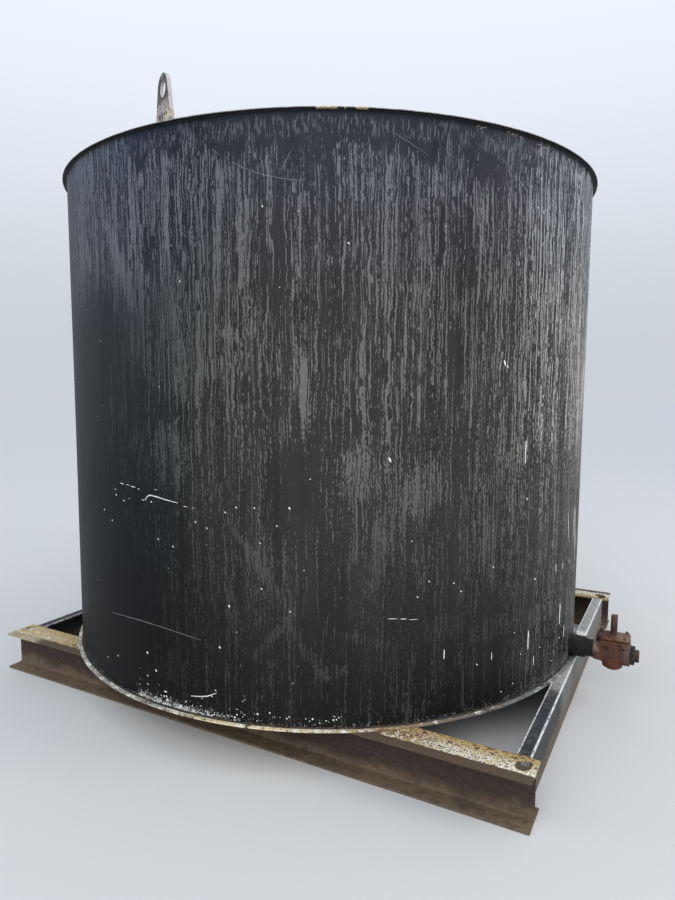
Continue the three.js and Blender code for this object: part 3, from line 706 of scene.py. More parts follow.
# Turns the live modifiers into plain mesh
def settle(piece, sharp=35):
    graph = bpy.context.evaluated_depsgraph_get()
    mesh = bpy.data.meshes.new_from_object(piece.evaluated_get(graph))
    piece.modifiers.clear()
    old = piece.data
    piece.data = mesh
    bpy.data.meshes.remove(old)
    mesh.name = piece.name
    smoothUp(piece, sharp)
    return piece


def drop(*pieces):
    for piece in pieces:
        bpy.data.objects.remove(piece)


# Makes one piece of several
def joined(name, material, *pieces):
    whole = bmesh.new()
    for piece in pieces:
        whole.from_mesh(piece.data)
    mesh = bpy.data.meshes.new(name)
    whole.to_mesh(mesh)
    whole.free()
    drop(*pieces)
    mesh.materials.append(material)
    return addObject(name, mesh)


# Cuts the other pieces out of this one
def cutOut(piece, *cutters):
    for cutter in cutters:
        modifier = piece.modifiers.new("cut", "BOOLEAN")
        modifier.operation = "DIFFERENCE"
        modifier.solver = "MANIFOLD"
        modifier.object = cutter
    settle(piece)
    drop(*cutters)
    return piece


def bevelled(piece, width, segments=2, angle=30):
    modifier = piece.modifiers.new("bevel", "BEVEL")
    modifier.width = width
    modifier.segments = segments
    modifier.limit_method = "ANGLE"
    modifier.angle_limit = math.radians(angle)
    modifier.harden_normals = False
    return settle(piece, 50)


# An outline whose corners, given as (u, v, radius), are rounded
def rounded(corners, steps=4, closed=True):
    outline = []
    count = len(corners)
    for index, (u, v, radius) in enumerate(corners):
        here = Vector((u, v))
        if radius < tiny or (not closed and index in (0, count - 1)):
            outline.append((u, v))
            continue
        back = (Vector(corners[index - 1][:2]) - here).normalized()
        ahead = (Vector(corners[(index + 1) % count][:2]) - here).normalized()
        reach = radius / math.tan(back.angle(ahead) / 2)
        start = here + back * reach
        end = here + ahead * reach
        for step in range(steps + 1):
            share = step / steps
            point = start * (1 - share) ** 2 + here * (2 * share * (1 - share)) + end * share ** 2
            outline.append(tuple(point))
    return outline


# Turns a profile of (radius, height) points about the Z axis. It ends on the axis or closes on itself.
def turned(profile, segments, wobble=None):
    vertices = []
    rings = []
    for radius, height in profile:
        ring = []
        for step in range(1 if radius < tiny else segments):
            turn = 2 * math.pi * step / segments
            push = wobble(turn, radius, height) if wobble and radius > tiny else 0.0
            ring.append(len(vertices))
            vertices.append(((radius + push) * math.cos(turn), (radius + push) * math.sin(turn), height))
        rings.append(ring)
    pairs = list(zip(rings, rings[1:]))
    if profile[0][0] > tiny:
        pairs.append((rings[-1], rings[0]))
    faces = []
    for lower, upper in pairs:
        for step in range(segments):
            after = (step + 1) % segments
            corners = [lower[step % len(lower)], lower[after % len(lower)],
                       upper[after % len(upper)], upper[step % len(upper)]]
            face = list(dict.fromkeys(corners))
            if len(face) > 2:
                faces.append(face)
    return vertices, faces


def turnedPiece(name, profile, segments, material, matrix=None, wobble=None, sharp=35):
    vertices, faces = turned(profile, segments, wobble)
    if matrix is not None:
        vertices = [matrix @ Vector(point) for point in vertices]
    return makePiece(name, vertices, faces, material, sharp)


# A plain rod, to be cut out of something
def rodCutter(name, radius, low, high, material, matrix, segments=64):
    profile = [(0, low), (radius, low), (radius, high), (0, high)]
    return turnedPiece(name, profile, segments, material, matrix)


# A section of (u, v) points carried along a line of stations. place makes the point.
def carried(name, outline, stations, place, material, sharp=35):
    vertices = [place(u, v, station) for station in stations for u, v in outline]
    count = len(outline)
    faces = []
    for index in range(len(stations) - 1):
        for step in range(count):
            after = (step + 1) % count
            faces.append([index * count + step, index * count + after,
                          (index + 1) * count + after, (index + 1) * count + step])
    faces.append(list(range(count)))
    faces.append([(len(stations) - 1) * count + step for step in range(count)])
    return makePiece(name, vertices, faces, material, sharp)


def evenly(start, end, count):
    return [start + (end - start) * step / count for step in range(count + 1)]


def shellPoint(degrees, height, lift=0.0):
    turn = math.radians(degrees)
    radius = shellRadius + lift
    return Vector((radius * math.cos(turn), radius * math.sin(turn), shellLow.z + height))


# The rolled shell, a little uneven, with the outlet's hole cut through
def shellWall():
    size = {"segments": 360, "rows": 26, "wave": 0.0011, "hole": 0.0543, "holeReach": (1.30, 1.60)}

    def wave(turn, radius, height):
        spot = Vector((1.6 * math.cos(turn), 1.6 * math.sin(turn), 0.9 * height))
        return size["wave"] * (noise.noise(spot) - 0.6)

    rows = evenly(shellLow.z, shellHigh.z, size["rows"])
    profile = [(shellRadius, row) for row in rows]
    profile += [(shellRadius - plate, row) for row in reversed(rows)]
    wall = turnedPiece("shell_wall", profile, size["segments"], paints["shell"], wobble=wave)
    cutter = rodCutter("outlet_cutter", size["hole"], *size["holeReach"], paints["shell"], outletAxis)
    return cutOut(wall, cutter)


# The roof plate, a shallow cone with a soft edge, cut for the hatch and the vent
def roofPlate():
    size = {"segments": 360, "rings": 22, "sag": 0.0022, "edge": 0.0012, "vent": 0.0703, "hatch": 0.1098,
            "hatchReach": (2.5, 3.0)}

    def lift(radius, turn):
        share = math.sin(math.pi * min(1.0, radius / roofRadius))
        spot = Vector((2.2 * radius * math.cos(turn), 2.2 * radius * math.sin(turn), 0.0))
        return -size["sag"] * share * (0.5 + 0.5 * noise.noise(spot))

    radii = evenly(size["vent"], roofRadius - size["edge"], size["rings"])
    upper = [(radius, roofTop(radius)) for radius in radii]
    rim = [(roofRadius, edgeTop - size["edge"]), (roofRadius, edgeTop - plate * 0.75)]
    lower = [(radius, roofTop(radius) - plate) for radius in reversed(radii)]
    vertices, faces = turned(upper + rim + lower, size["segments"])
    shaped = []
    for px, py, pz in vertices:
        radius = math.hypot(px, py)
        shaped.append((px, py, pz + lift(radius, math.atan2(py, px))))
    deck = makePiece("roof_plate", shaped, faces, paints["roof"])
    cutter = rodCutter("hatch_cutter", size["hatch"], *size["hatchReach"], paints["roof"], hatchAxis)
    return cutOut(deck, cutter)


def bottomDisc():
    size = {"segments": 360, "round": 0.0016, "ragged": 0.0012, "rim": 0.03}

    def ragged(turn, radius, height):
        if radius < bottomHigh.x - 0.01:
            return 0.0
        spot = Vector((9 * math.cos(turn), 9 * math.sin(turn), 0.0))
        return size["ragged"] * (noise.noise(spot) - 1.0) * 0.5

    edge = bottomHigh.x
    profile = rounded([(0, bottomLow.z, 0), (edge, bottomLow.z, size["round"]),
                       (edge, bottomHigh.z, size["round"]), (0, bottomHigh.z, 0)], 3, closed=False)
    inner = [(edge - size["rim"], bottomLow.z), (edge - size["rim"], bottomHigh.z)]
    profile = profile[:1] + inner[:1] + profile[1:-1] + inner[1:] + profile[-1:]
    return turnedPiece("bottom_disc", profile, size["segments"], paints["bottom"], wobble=ragged)


# A hole burned through a flange, with a flared and uneven wall
def burnedHole(name, radius, low, high, matrix):
    size = {"flare": 0.0016, "rough": 0.0011}

    def burn(turn, ring, height):
        spot = Vector((3 * math.cos(turn), 3 * math.sin(turn), 40 * height))
        return size["rough"] * noise.noise(spot)

    profile = [(0, low - 0.02), (radius + size["flare"] * 4, low - 0.02), (radius + size["flare"], low),
               (radius, low + 0.002), (radius, high - 0.002), (radius + size["flare"], high),
               (radius + size["flare"] * 4, high + 0.02), (0, high + 0.02)]
    return turnedPiece(name, profile, 44, paints["runner"], matrix, burn)


# A wide-flange beam with rolled fillets and a burned hole near each end
def runner(side):
    size = {"flange": 0.0102, "web": 0.0062, "fillet": 0.011, "toe": 0.0035, "corner": 0.0018,
            "hole": 0.023, "stations": 150, "dent": 0.0009}
    low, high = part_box(f"runner_{side}_left")
    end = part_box(f"runner_{side}_right")[1].x
    middle = (low.y + high.y) / 2
    half = (high.y - low.y) / 2
    depth = high.z
    web = size["web"] / 2
    corner, toe, fillet = size["corner"], size["toe"], size["fillet"]
    lowTop = size["flange"]
    highLow = depth - size["flange"]
    outline = rounded([
        (-half, 0, corner), (half, 0, corner), (half, lowTop, toe), (web, lowTop, fillet),
        (web, highLow, fillet), (half, highLow, toe), (half, depth, corner), (-half, depth, corner),
        (-half, highLow, toe), (-web, highLow, fillet), (-web, lowTop, fillet), (-half, lowTop, toe),
    ], 3)

    def place(u, v, x):
        spot = Vector((5 * x, 12 * u, 12 * v))
        push = size["dent"] * (noise.noise(spot) - 0.5) if abs(u) > half * 0.6 else 0.0
        return x, middle + u + math.copysign(push, u), v + (push if v > depth * 0.9 else 0.0)

    beam = carried(f"runner_{side}", outline, evenly(low.x, end, size["stations"]), place, paints["runner"])
    cutters = []
    for name in ("left", "right"):
        first, second = openings[f"pull_hole_{side}_{name}"]
        centre = Matrix.Translation(((first[0] + second[0]) / 2, (first[1] + second[1]) / 2, 0))
        cutters.append(burnedHole(f"hole_cutter_{name}", size["hole"], highLow, depth, centre))
    return cutOut(beam, *cutters)


# A channel whose web faces +X or -X, as side says
def channel(name, node, side):
    size = {"flange": 0.0099, "web": 0.0056, "fillet": 0.009, "toe": 0.004, "corner": 0.0016, "stations": 90}
    low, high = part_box(node)
    face = high.x if side > 0 else low.x
    tip = low.x if side > 0 else high.x
    inner = face - side * size["web"]
    lowTop = size["flange"]
    highLow = high.z - size["flange"]
    outline = rounded([
        (face, 0, size["corner"]), (face, high.z, size["corner"]), (tip, high.z, size["corner"]),
        (tip, highLow, size["toe"]), (inner, highLow, size["fillet"]), (inner, lowTop, size["fillet"]),
        (tip, lowTop, size["toe"]), (tip, 0, size["corner"]),
    ], 3)

    def place(u, v, y):
        bow = 0.0008 * (noise.noise(Vector((u, 3 * y, 5 * v))) - 0.5)
        inwards = bow if abs(v - high.z / 2) < high.z * 0.4 else 0.0
        return u - side * abs(inwards), y, v

    return carried(name, outline, evenly(low.y, high.y, size["stations"]), place, paints["channel"])


# Lifting lug with a round head and an eye, its edges rounded by the torch and the slings
def lug(name, node):
    size = {"height": 0.198, "head": 0.057, "eye": 0.031, "base": 0.180, "thickness": 0.016,
            "sink": 0.003, "bevel": 0.0016, "worn": 0.0045, "skirt": 0.006}
    centre = Vector(middleOf(node))
    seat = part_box(node)[1].z - size["height"]

    def footAt(u):
        radius = math.hypot(centre.x + u * math.cos(lugTurn), centre.y + u * math.sin(lugTurn))
        return roofTop(radius) - seat - size["sink"]

    eyeHeight = size["height"] - size["head"]
    half = size["base"] / 2
    slant = math.hypot(half, eyeHeight)
    tangent = math.atan2(eyeHeight, half) - math.acos(size["head"] / slant)
    outline = [(half, footAt(half)), (half, size["skirt"])]
    for share in evenly(-tangent, math.pi + tangent, 40):
        outline.append((size["head"] * math.cos(share), eyeHeight + size["head"] * math.sin(share)))
    outline += [(-half, size["skirt"]), (-half, footAt(-half))]
    mesh = bmesh.new()
    rim = [mesh.verts.new((u, -size["thickness"] / 2, v)) for u, v in outline]
    mesh.faces.new(rim)
    made = bmesh.ops.extrude_face_region(mesh, geom=mesh.faces[:])
    moved = [item for item in made["geom"] if isinstance(item, bmesh.types.BMVert)]
    bmesh.ops.translate(mesh, verts=moved, vec=(0, size["thickness"], 0))
    bmesh.ops.recalc_face_normals(mesh, faces=mesh.faces)
    data = bpy.data.meshes.new(name)
    mesh.to_mesh(data)
    mesh.free()
    data.materials.append(paints["lug"])
    piece = addObject(name, data)
    eyeMatrix = Matrix.Translation((0, 0, eyeHeight)) @ Matrix.Rotation(math.pi / 2, 4, "X")
    face = size["thickness"] / 2
    worn = size["worn"]
    flare = [(size["eye"] + worn * 1.6, -face - worn), (size["eye"] + worn, -face),
             (size["eye"] + worn * 0.25, -face + worn * 0.6), (size["eye"], -face + worn * 1.4)]
    profile = [(0, -0.05), (size["eye"] + worn * 1.6, -0.05), *flare]
    cutter = turnedPiece("eye_cutter", profile + [(radius, -height) for radius, height in reversed(profile)],
                         56, paints["lug"], eyeMatrix)
    cutOut(piece, cutter)
    bevelled(piece, size["bevel"], 3)
    place = Matrix.Translation((centre.x, centre.y, seat))
    piece.data.transform(place @ Matrix.Rotation(lugTurn, 4, "Z"))
    return piece


def pipeProfile(bore, outer, start, end, chamfer):
    return rounded([(bore, start, chamfer), (outer, start, chamfer), (outer, end, chamfer),
                    (bore, end, chamfer)], 2)


def outletPipes():
    size = {"coupling": {"bore": 0.04475, "chamfer": 0.0022}, "nipple": {"bore": 0.039, "chamfer": 0.0011}}
    made = []
    for part, pipe in size.items():
        low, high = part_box("outlet_" + part)
        profile = pipeProfile(pipe["bore"], (high.z - low.z) / 2, low.x, high.x, pipe["chamfer"])
        made.append(turnedPiece("pipe_" + part, profile, 96, paints["nozzle"], outletAxis))
    return made


# Castings are joined as one lump, remeshed and smoothed, so that every corner gets its fillet
def cast(name, lumps, voxel, passes, material, skin):
    piece = joined(name, material, *lumps)
    remesh = piece.modifiers.new("remesh", "REMESH")
    remesh.mode = "VOXEL"
    remesh.voxel_size = voxel
    smooth = piece.modifiers.new("smooth", "SMOOTH")
    smooth.iterations = passes
    smooth.factor = 0.5
    settle(piece, 60)
    pushes = []
    for vertex in piece.data.vertices:
        share = noise.noise(vertex.co * 90) + 0.5 * noise.noise(vertex.co * 260)
        pushes.append(vertex.normal * (skin * share))
    for vertex, push in zip(piece.data.vertices, pushes):
        vertex.co += push
    return piece


# A flat slab with rounded corners and softened edges
def roundedSlab(name, length, width, corner, low, high, edge, material, matrix):
    u = length / 2
    v = width / 2
    outline = rounded([(-u, -v, corner), (u, -v, corner), (u, v, corner), (-u, v, corner)], 7)
    rows = [(low, edge), (low + edge * 0.35, edge * 0.25), (low + edge, 0.0),
            (high - edge, 0.0), (high - edge * 0.35, edge * 0.25), (high, edge)]

    def place(a, b, row):
        height, inset = row
        shrinkA = 1 - inset / u
        shrinkB = 1 - inset / v
        return matrix @ Vector((a * shrinkA, b * shrinkB, height))

    return carried(name, outline, rows, place, material)


valve = {
    "hub": 0.050, "hubEnd": 0.054, "hubCone": 0.038, "barrel": 0.053, "barrelTop": 0.057,
    "shoulder": 0.047, "foot": 0.029, "drop": 0.084, "shoulderRise": 0.012, "sideRise": 0.032,
    "neck": 0.052, "neckLength": 0.014, "ring": 0.0575, "ringStart": 1.709, "ringEnd": 1.737,
    "collar": 0.047, "collarEnd": 1.758, "length": 0.158, "width": 0.116, "corner": 0.030,
    "flangeLow": 0.044, "flangeHigh": 0.058, "plate": 0.012, "waist": 0.007, "waistInset": 0.007,
    "boss": 0.034, "bossHeight": 0.004, "bore": 0.0146, "boreLow": 0.032, "gap": 0.0003,
    "start": 1.564, "voxel": 0.0019, "inlet": 0.04475, "inletReach": (1.50, 1.5943),
    "outlet": 0.0383, "outletReach": (1.7337, 1.80),
}


def valveCasting():
    v = valve
    run = turnedPiece("run", [
        (0, v["start"]), (v["hub"], v["start"]), (v["hubEnd"], v["start"] + v["hubCone"]),
        (v["hubEnd"], stemX), (v["neck"], v["ringStart"] - v["neckLength"]), (v["neck"], v["ringStart"]),
        (v["ring"], v["ringStart"]), (v["ring"], v["ringEnd"]), (v["collar"], v["ringEnd"]),
        (v["collar"], v["collarEnd"]), (0, v["collarEnd"])], 72, paints["casting"], outletAxis)
    barrel = turnedPiece("barrel", [
        (0, -v["drop"]), (v["foot"], -v["drop"]), (v["shoulder"], -v["drop"] + v["shoulderRise"]),
        (v["barrel"], -v["drop"] + v["sideRise"]), (v["barrelTop"], v["flangeLow"] + 0.001),
        (0, v["flangeLow"] + 0.001)], 72, paints["casting"], stemAxis)
    flange = roundedSlab("flange", v["length"], v["width"], v["corner"], v["flangeLow"], v["flangeHigh"],
                         0.0015, paints["casting"], stemAxis)
    body = cast("valve_casting", [run, barrel, flange], v["voxel"], 3, paints["casting"], 0.0004)
    return cutOut(
        body, rodCutter("inlet_cutter", v["inlet"], *v["inletReach"], paints["casting"], outletAxis),
        rodCutter("outlet_cutter", v["outlet"], *v["outletReach"], paints["casting"], outletAxis),
        rodCutter("stem_cutter", v["bore"], v["boreLow"], 0.09, paints["casting"], stemAxis, 40))


def valveCover():
    v = valve
    low = v["flangeHigh"] + v["gap"]
    top = low + 2 * v["plate"] + v["waist"]
    length, width, corner = v["length"], v["width"], v["corner"]
    inset = v["waistInset"]
    lumps = [
        roundedSlab("lower", length, width, corner, low, low + v["plate"], 0.002, paints["cover"], stemAxis),
        roundedSlab("waist", length - 2 * inset, width - 2 * inset, corner - inset, low + v["plate"] - 0.001,
                    top - v["plate"] + 0.001, 0.0002, paints["cover"], stemAxis),
        roundedSlab("upper", length, width, corner, top - v["plate"], top, 0.002, paints["cover"], stemAxis),
        turnedPiece("boss", rounded([(0, top - 0.001, 0), (v["boss"], top - 0.001, 0),
                    (v["boss"], top + v["bossHeight"], 0.0015), (0, top + v["bossHeight"], 0)], 3, False),
                    48, paints["cover"], stemAxis),
    ]
    cover = cast("valve_bonnet", lumps, 0.0017, 2, paints["cover"], 0.00035)
    return cutOut(cover, rodCutter("bore_cutter", v["bore"], 0.03, 0.13, paints["cover"], stemAxis, 40))


def squareOutline(width, worn):
    half = width / 2
    return rounded([(-half, -half, worn), (half, -half, worn), (half, half, worn), (-half, half, worn)], 3)


def stemSquare():
    size = {"shank": 0.014, "square": 0.030, "chamfer": 0.004, "headLow": 0.0983, "worn": 0.0016}
    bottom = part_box("valve_stem")[0].z
    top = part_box("valve_stem")[1].z
    low = outletZ + size["headLow"]
    profile = rounded([(0, bottom, 0), (size["shank"], bottom, 0.001), (size["shank"], low + 0.001, 0),
                       (0, low + 0.001, 0)], 2, False)
    shank = turnedPiece("shank", profile, 40, paints["stem"], Matrix.Translation((stemX, 0, 0)))
    outline = squareOutline(size["square"], size["worn"])
    rows = [(low, 0.92), (low + 0.0015, 1.0), *[(low + 0.0015 + 0.008 * step, 1.0) for step in range(1, 11)],
            (top - size["chamfer"], 1.0), (top - 0.0008, 0.84), (top, 0.78)]

    def place(u, v, row):
        height, scale = row
        nick = abs(0.0004 * noise.noise(Vector((60 * u, 60 * v, 55 * height))))
        x = stemX + u * scale - math.copysign(nick, u)
        return x, v * scale - math.copysign(nick, v), height

    head = carried("head", outline, rows, place, paints["stem"])
    piece = joined("stem_square", paints["stem"], shank, head)
    smoothUp(piece)
    return piece


def hexPlug():
    size = {"shank": 0.038, "head": 0.033, "worn": 0.0016, "chamfer": 0.002, "thread": 0.003175}
    low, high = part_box("outlet_plug")
    face = valve["collarEnd"] + valve["gap"]
    threads = []
    turns = int((face - low.x) / size["thread"])
    for step in range(turns):
        start = low.x + step * size["thread"]
        threads += [(size["shank"] - 0.0014, start), (size["shank"], start + size["thread"] / 2)]
    shank = turnedPiece("shank", [(0, low.x), *threads, (size["shank"] - 0.0014, face), (0, face)], 64,
                        paints["plug"], outletAxis, sharp=20)
    corners = []
    for step in range(6):
        turn = math.pi / 3 * step
        corners.append((size["head"] * math.cos(turn), size["head"] * math.sin(turn), size["worn"]))
    outline = rounded(corners, 3)
    rows = [(face, 1.0), *[(face + 0.004 * step, 1.0) for step in range(1, 5)],
            (high.x - size["chamfer"] / 2, 1.0), (high.x - size["chamfer"] / 6, 0.965), (high.x, 0.91)]

    def place(u, v, row):
        x, scale = row
        return x, v * scale, outletZ - u * scale

    head = carried("head", outline, rows, place, paints["plug"])
    piece = joined("plug_hex", paints["plug"], shank, head)
    smoothUp(piece)
    return piece


# A round bar bent along a curve through the points
def tube(name, points, radius, segments, material):
    curve = bpy.data.curves.new(name, "CURVE")
    curve.dimensions = "3D"
    curve.bevel_depth = radius
    curve.bevel_resolution = segments
    curve.use_fill_caps = True
    curve.resolution_u = 10
    spline = curve.splines.new("BEZIER")
    spline.bezier_points.add(len(points) - 1)
    for knot, point in zip(spline.bezier_points, points):
        knot.co = point
        knot.handle_left_type = "AUTO"
        knot.handle_right_type = "AUTO"
    holder = addObject(name + "_curve", curve)
    graph = bpy.context.evaluated_depsgraph_get()
    mesh = bpy.data.meshes.new_from_object(holder.evaluated_get(graph))
    drop(holder)
    mesh.materials.clear()
    mesh.materials.append(material)
    piece = addObject(name, mesh)
    turnOutwards(piece)
    smoothUp(piece)
    return piece


def hatch():
    size = {"neck": 0.1095, "wall": 0.008, "flange": 0.0095, "edge": 0.0014, "rod": 0.006,
            "handleWidth": 0.120, "handleHeight": 0.044, "handleFoot": 0.003, "handleBend": 0.028,
            "gap": 0.0003}
    low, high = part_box("hatch_neck")
    wide = (high.x - low.x) / 2
    bore = size["neck"] - size["wall"]
    neck = turnedPiece("hatch_ring", rounded([
        (bore, low.z, 0.001), (size["neck"], low.z, 0.001), (size["neck"], high.z - size["flange"], 0.004),
        (wide, high.z - size["flange"], size["edge"]), (wide, high.z, size["edge"]), (bore, high.z, 0.001),
    ], 3), 96, paints["roof"], hatchAxis)
    lidLow = high.z + size["gap"]
    lidHigh = lidLow + size["flange"]
    lid = turnedPiece("hatch_lid", rounded([
        (0, lidLow, 0), (wide, lidLow, size["edge"]), (wide, lidHigh, size["edge"]), (0, lidHigh, 0),
    ], 3, False), 96, paints["roof"], hatchAxis)
    half = size["handleWidth"] / 2
    bend = [(half, lidHigh - size["handleFoot"]), (half, lidHigh + size["handleBend"]),
            (half * 0.72, lidHigh + size["handleHeight"])]
    points = [(hatchX, -y, z) for y, z in bend] + [(hatchX, y, z) for y, z in reversed(bend)]
    return neck, lid, tube("hatch_handle", points, size["rod"], 4, paints["roof"])


def vent():
    size = {"bore": 0.0575, "edge": 0.002, "head": 0.030, "plugLow": 0.035, "worn": 0.002, "gap": 0.0003}
    low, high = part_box("vent_coupling")
    pipe = turnedPiece("vent_pipe", pipeProfile(size["bore"], high.x, low.z, high.z, size["edge"]), 96,
                       paints["roof"])
    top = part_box("vent_plug")[1].z
    fit = size["bore"] - size["gap"]
    shank = turnedPiece("vent_shank", rounded([
        (0, high.z - size["plugLow"], 0), (fit, high.z - size["plugLow"], 0.002),
        (fit, high.z - 0.0015, 0.001), (0.050, high.z - 0.003, 0.001), (0, high.z - 0.003, 0),
    ], 2, False), 80, paints["roof"])
    outline = squareOutline(size["head"] * math.sqrt(2), size["worn"])
    rows = [(high.z - 0.004, 1.0), (high.z + 0.01, 1.0), (high.z + 0.02, 1.0), (top - 0.003, 1.0),
            (top - 0.0008, 0.95), (top, 0.88)]
    turn = Matrix.Rotation(math.radians(45), 3, "Z")

    def place(u, v, row):
        height, scale = row
        return turn @ Vector((u * scale, v * scale, height))

    head = carried("vent_cap", outline, rows, place, paints["roof"])
    return pipe, shank, head


shell = shellWall()
roof = roofPlate()
disc = bottomDisc()
print("tank made")
runners = {side: runner(side) for side in ("near", "far")}
channels = {}
for kind, part, side in (("end", "left", -1), ("cross", "left", 1), ("cross", "middle", 1),
                         ("cross", "right", 1), ("end", "right", 1)):
    node = f"{kind}_channel_{part}"
    channels[node] = channel(f"channel_{kind}_{part}", node, side)
print("skid made")
lugs = {node: lug(node.replace("lifting_", ""), node) for node in ("lifting_lug_near", "lifting_lug_far")}
coupling, nipple = outletPipes()
casting = valveCasting()
bonnet = valveCover()
stem = stemSquare()
plug = hexPlug()
hatchNeck, hatchLid, hatchHandle = hatch()
ventPipe, ventShank, ventHead = vent()
print("fittings made")


# Geometry Nodes: trees for beads, marks, specks and bolts
def newTree(name, sizes):
    tree = bpy.data.node_groups.new(name, "GeometryNodeTree")
    tree.interface.new_socket("Geometry", in_out="INPUT", socket_type="NodeSocketGeometry")
    for label, value in sizes.items():
        kind = "NodeSocketInt" if isinstance(value, int) else "NodeSocketFloat"
        socket = tree.interface.new_socket(label, in_out="INPUT", socket_type=kind)
        socket.default_value = value
    tree.interface.new_socket("Material", in_out="INPUT", socket_type="NodeSocketMaterial")
    tree.interface.new_socket("Geometry", in_out="OUTPUT", socket_type="NodeSocketGeometry")
    return tree, addNode(tree, "NodeGroupInput").outputs


def endTree(tree, given, geometry):
    flat = addNode(tree, "GeometryNodeRealizeInstances", {"Geometry": geometry}).outputs[0]
    smooth = addNode(tree, "GeometryNodeSetShadeSmooth", {"Geometry": flat}).outputs[0]
    painted = addNode(tree, "GeometryNodeSetMaterial", {"Geometry": smooth, "Material": given["Material"]})
    addNode(tree, "NodeGroupOutput", {"Geometry": painted.outputs[0]})
    return tree


# Weld beads: overlapping flattened drops along a path
def weldTree():
    tree, given = newTree("weldBead", {"Spacing": 0.006, "Size": 0.005, "Seed": 3})
    line = addNode(tree, "GeometryNodeMeshToCurve", {"Mesh": given["Geometry"]}).outputs[0]
    even = addNode(tree, "GeometryNodeResampleCurve", {
        "Curve": line, "Length": given["Spacing"]}, mode="LENGTH")
    dropShape = addNode(tree, "GeometryNodeMeshUVSphere", {
        "Segments": 8, "Rings": 4, "Radius": 1.0}).outputs[0]
    along = addNode(tree, "GeometryNodeInputTangent").outputs[0]
    facing = addNode(tree, "FunctionNodeAlignRotationToVector", {"Vector": along}, axis="X").outputs[0]
    size = addNode(tree, "FunctionNodeRandomValue", {
        0: (0.80, 0.92, 0.88), 1: (1.05, 1.12, 1.12), "Seed": given["Seed"]}, data_type="FLOAT_VECTOR")
    bigger = addNode(tree, "ShaderNodeVectorMath", {
        0: size.outputs[0], "Scale": given["Size"]}, operation="SCALE")
    beads = addNode(tree, "GeometryNodeInstanceOnPoints", {
        "Points": even.outputs[0], "Instance": dropShape, "Rotation": facing, "Scale": bigger.outputs[0]})
    return endTree(tree, given, beads.outputs[0])


# Marks: strips along a path, as wide as the point attribute "wide" says, pressed flat onto the shell
def markTree():
    tree, given = newTree("brushMark", {"Shell": shellRadius, "Flat": 0.12})
    line = addNode(tree, "GeometryNodeMeshToCurve", {"Mesh": given["Geometry"]}).outputs[0]
    wide = addNode(tree, "GeometryNodeInputNamedAttribute", {"Name": "wide"}, data_type="FLOAT").outputs[0]
    ring = addNode(tree, "GeometryNodeCurvePrimitiveCircle", {"Resolution": 6, "Radius": 1.0}).outputs[0]
    strip = addNode(tree, "GeometryNodeCurveToMesh", {
        "Curve": line, "Profile Curve": ring, "Scale": wide, "Fill Caps": True})
    x, y, z = splitUp(tree, addNode(tree, "GeometryNodeInputPosition").outputs[0])
    radius = calc(tree, "SQRT", plus(tree, times(tree, x, x), times(tree, y, y)))
    proud = times(tree, minus(tree, radius, given["Shell"]), given["Flat"])
    factor = calc(tree, "DIVIDE", plus(tree, given["Shell"], proud), radius)
    pressed = joinUp(tree, X=times(tree, x, factor), Y=times(tree, y, factor), Z=z)
    moved = addNode(tree, "GeometryNodeSetPosition", {"Geometry": strip.outputs[0], "Position": pressed})
    return endTree(tree, given, moved.outputs[0])


# Specks: small flat discs scattered over a patch of wall
def speckTree():
    tree, given = newTree("speckScatter", {
        "Density": 400.0, "Smallest": 0.0012, "Largest": 0.0045, "Seed": 5})
    cloud = grain(tree, addNode(tree, "GeometryNodeInputPosition").outputs[0], 7.0, 2.0, 0.5)
    thick = times(tree, rise(tree, cloud, 0.40, 0.66), given["Density"])
    spots = addNode(tree, "GeometryNodeDistributePointsOnFaces", {
        "Mesh": given["Geometry"], "Density": thick, "Seed": given["Seed"]})
    disc = addNode(tree, "GeometryNodeMeshIcoSphere", {"Subdivisions": 1, "Radius": 1.0}).outputs[0]
    size = addNode(tree, "FunctionNodeRandomValue", {
        2: 0.0, 3: 1.0, "Seed": given["Seed"]}, data_type="FLOAT")
    skewed = calc(tree, "POWER", size.outputs[1], 3.0)  # far more small ones than large ones
    spread = minus(tree, given["Largest"], given["Smallest"])
    length = calc(tree, "MULTIPLY_ADD", skewed, spread, given["Smallest"])
    scale = joinUp(tree, X=length, Y=length, Z=0.0004)
    dots = addNode(tree, "GeometryNodeInstanceOnPoints", {
        "Points": spots.outputs["Points"], "Instance": disc, "Rotation": spots.outputs["Rotation"],
        "Scale": scale})
    return endTree(tree, given, dots.outputs[0])


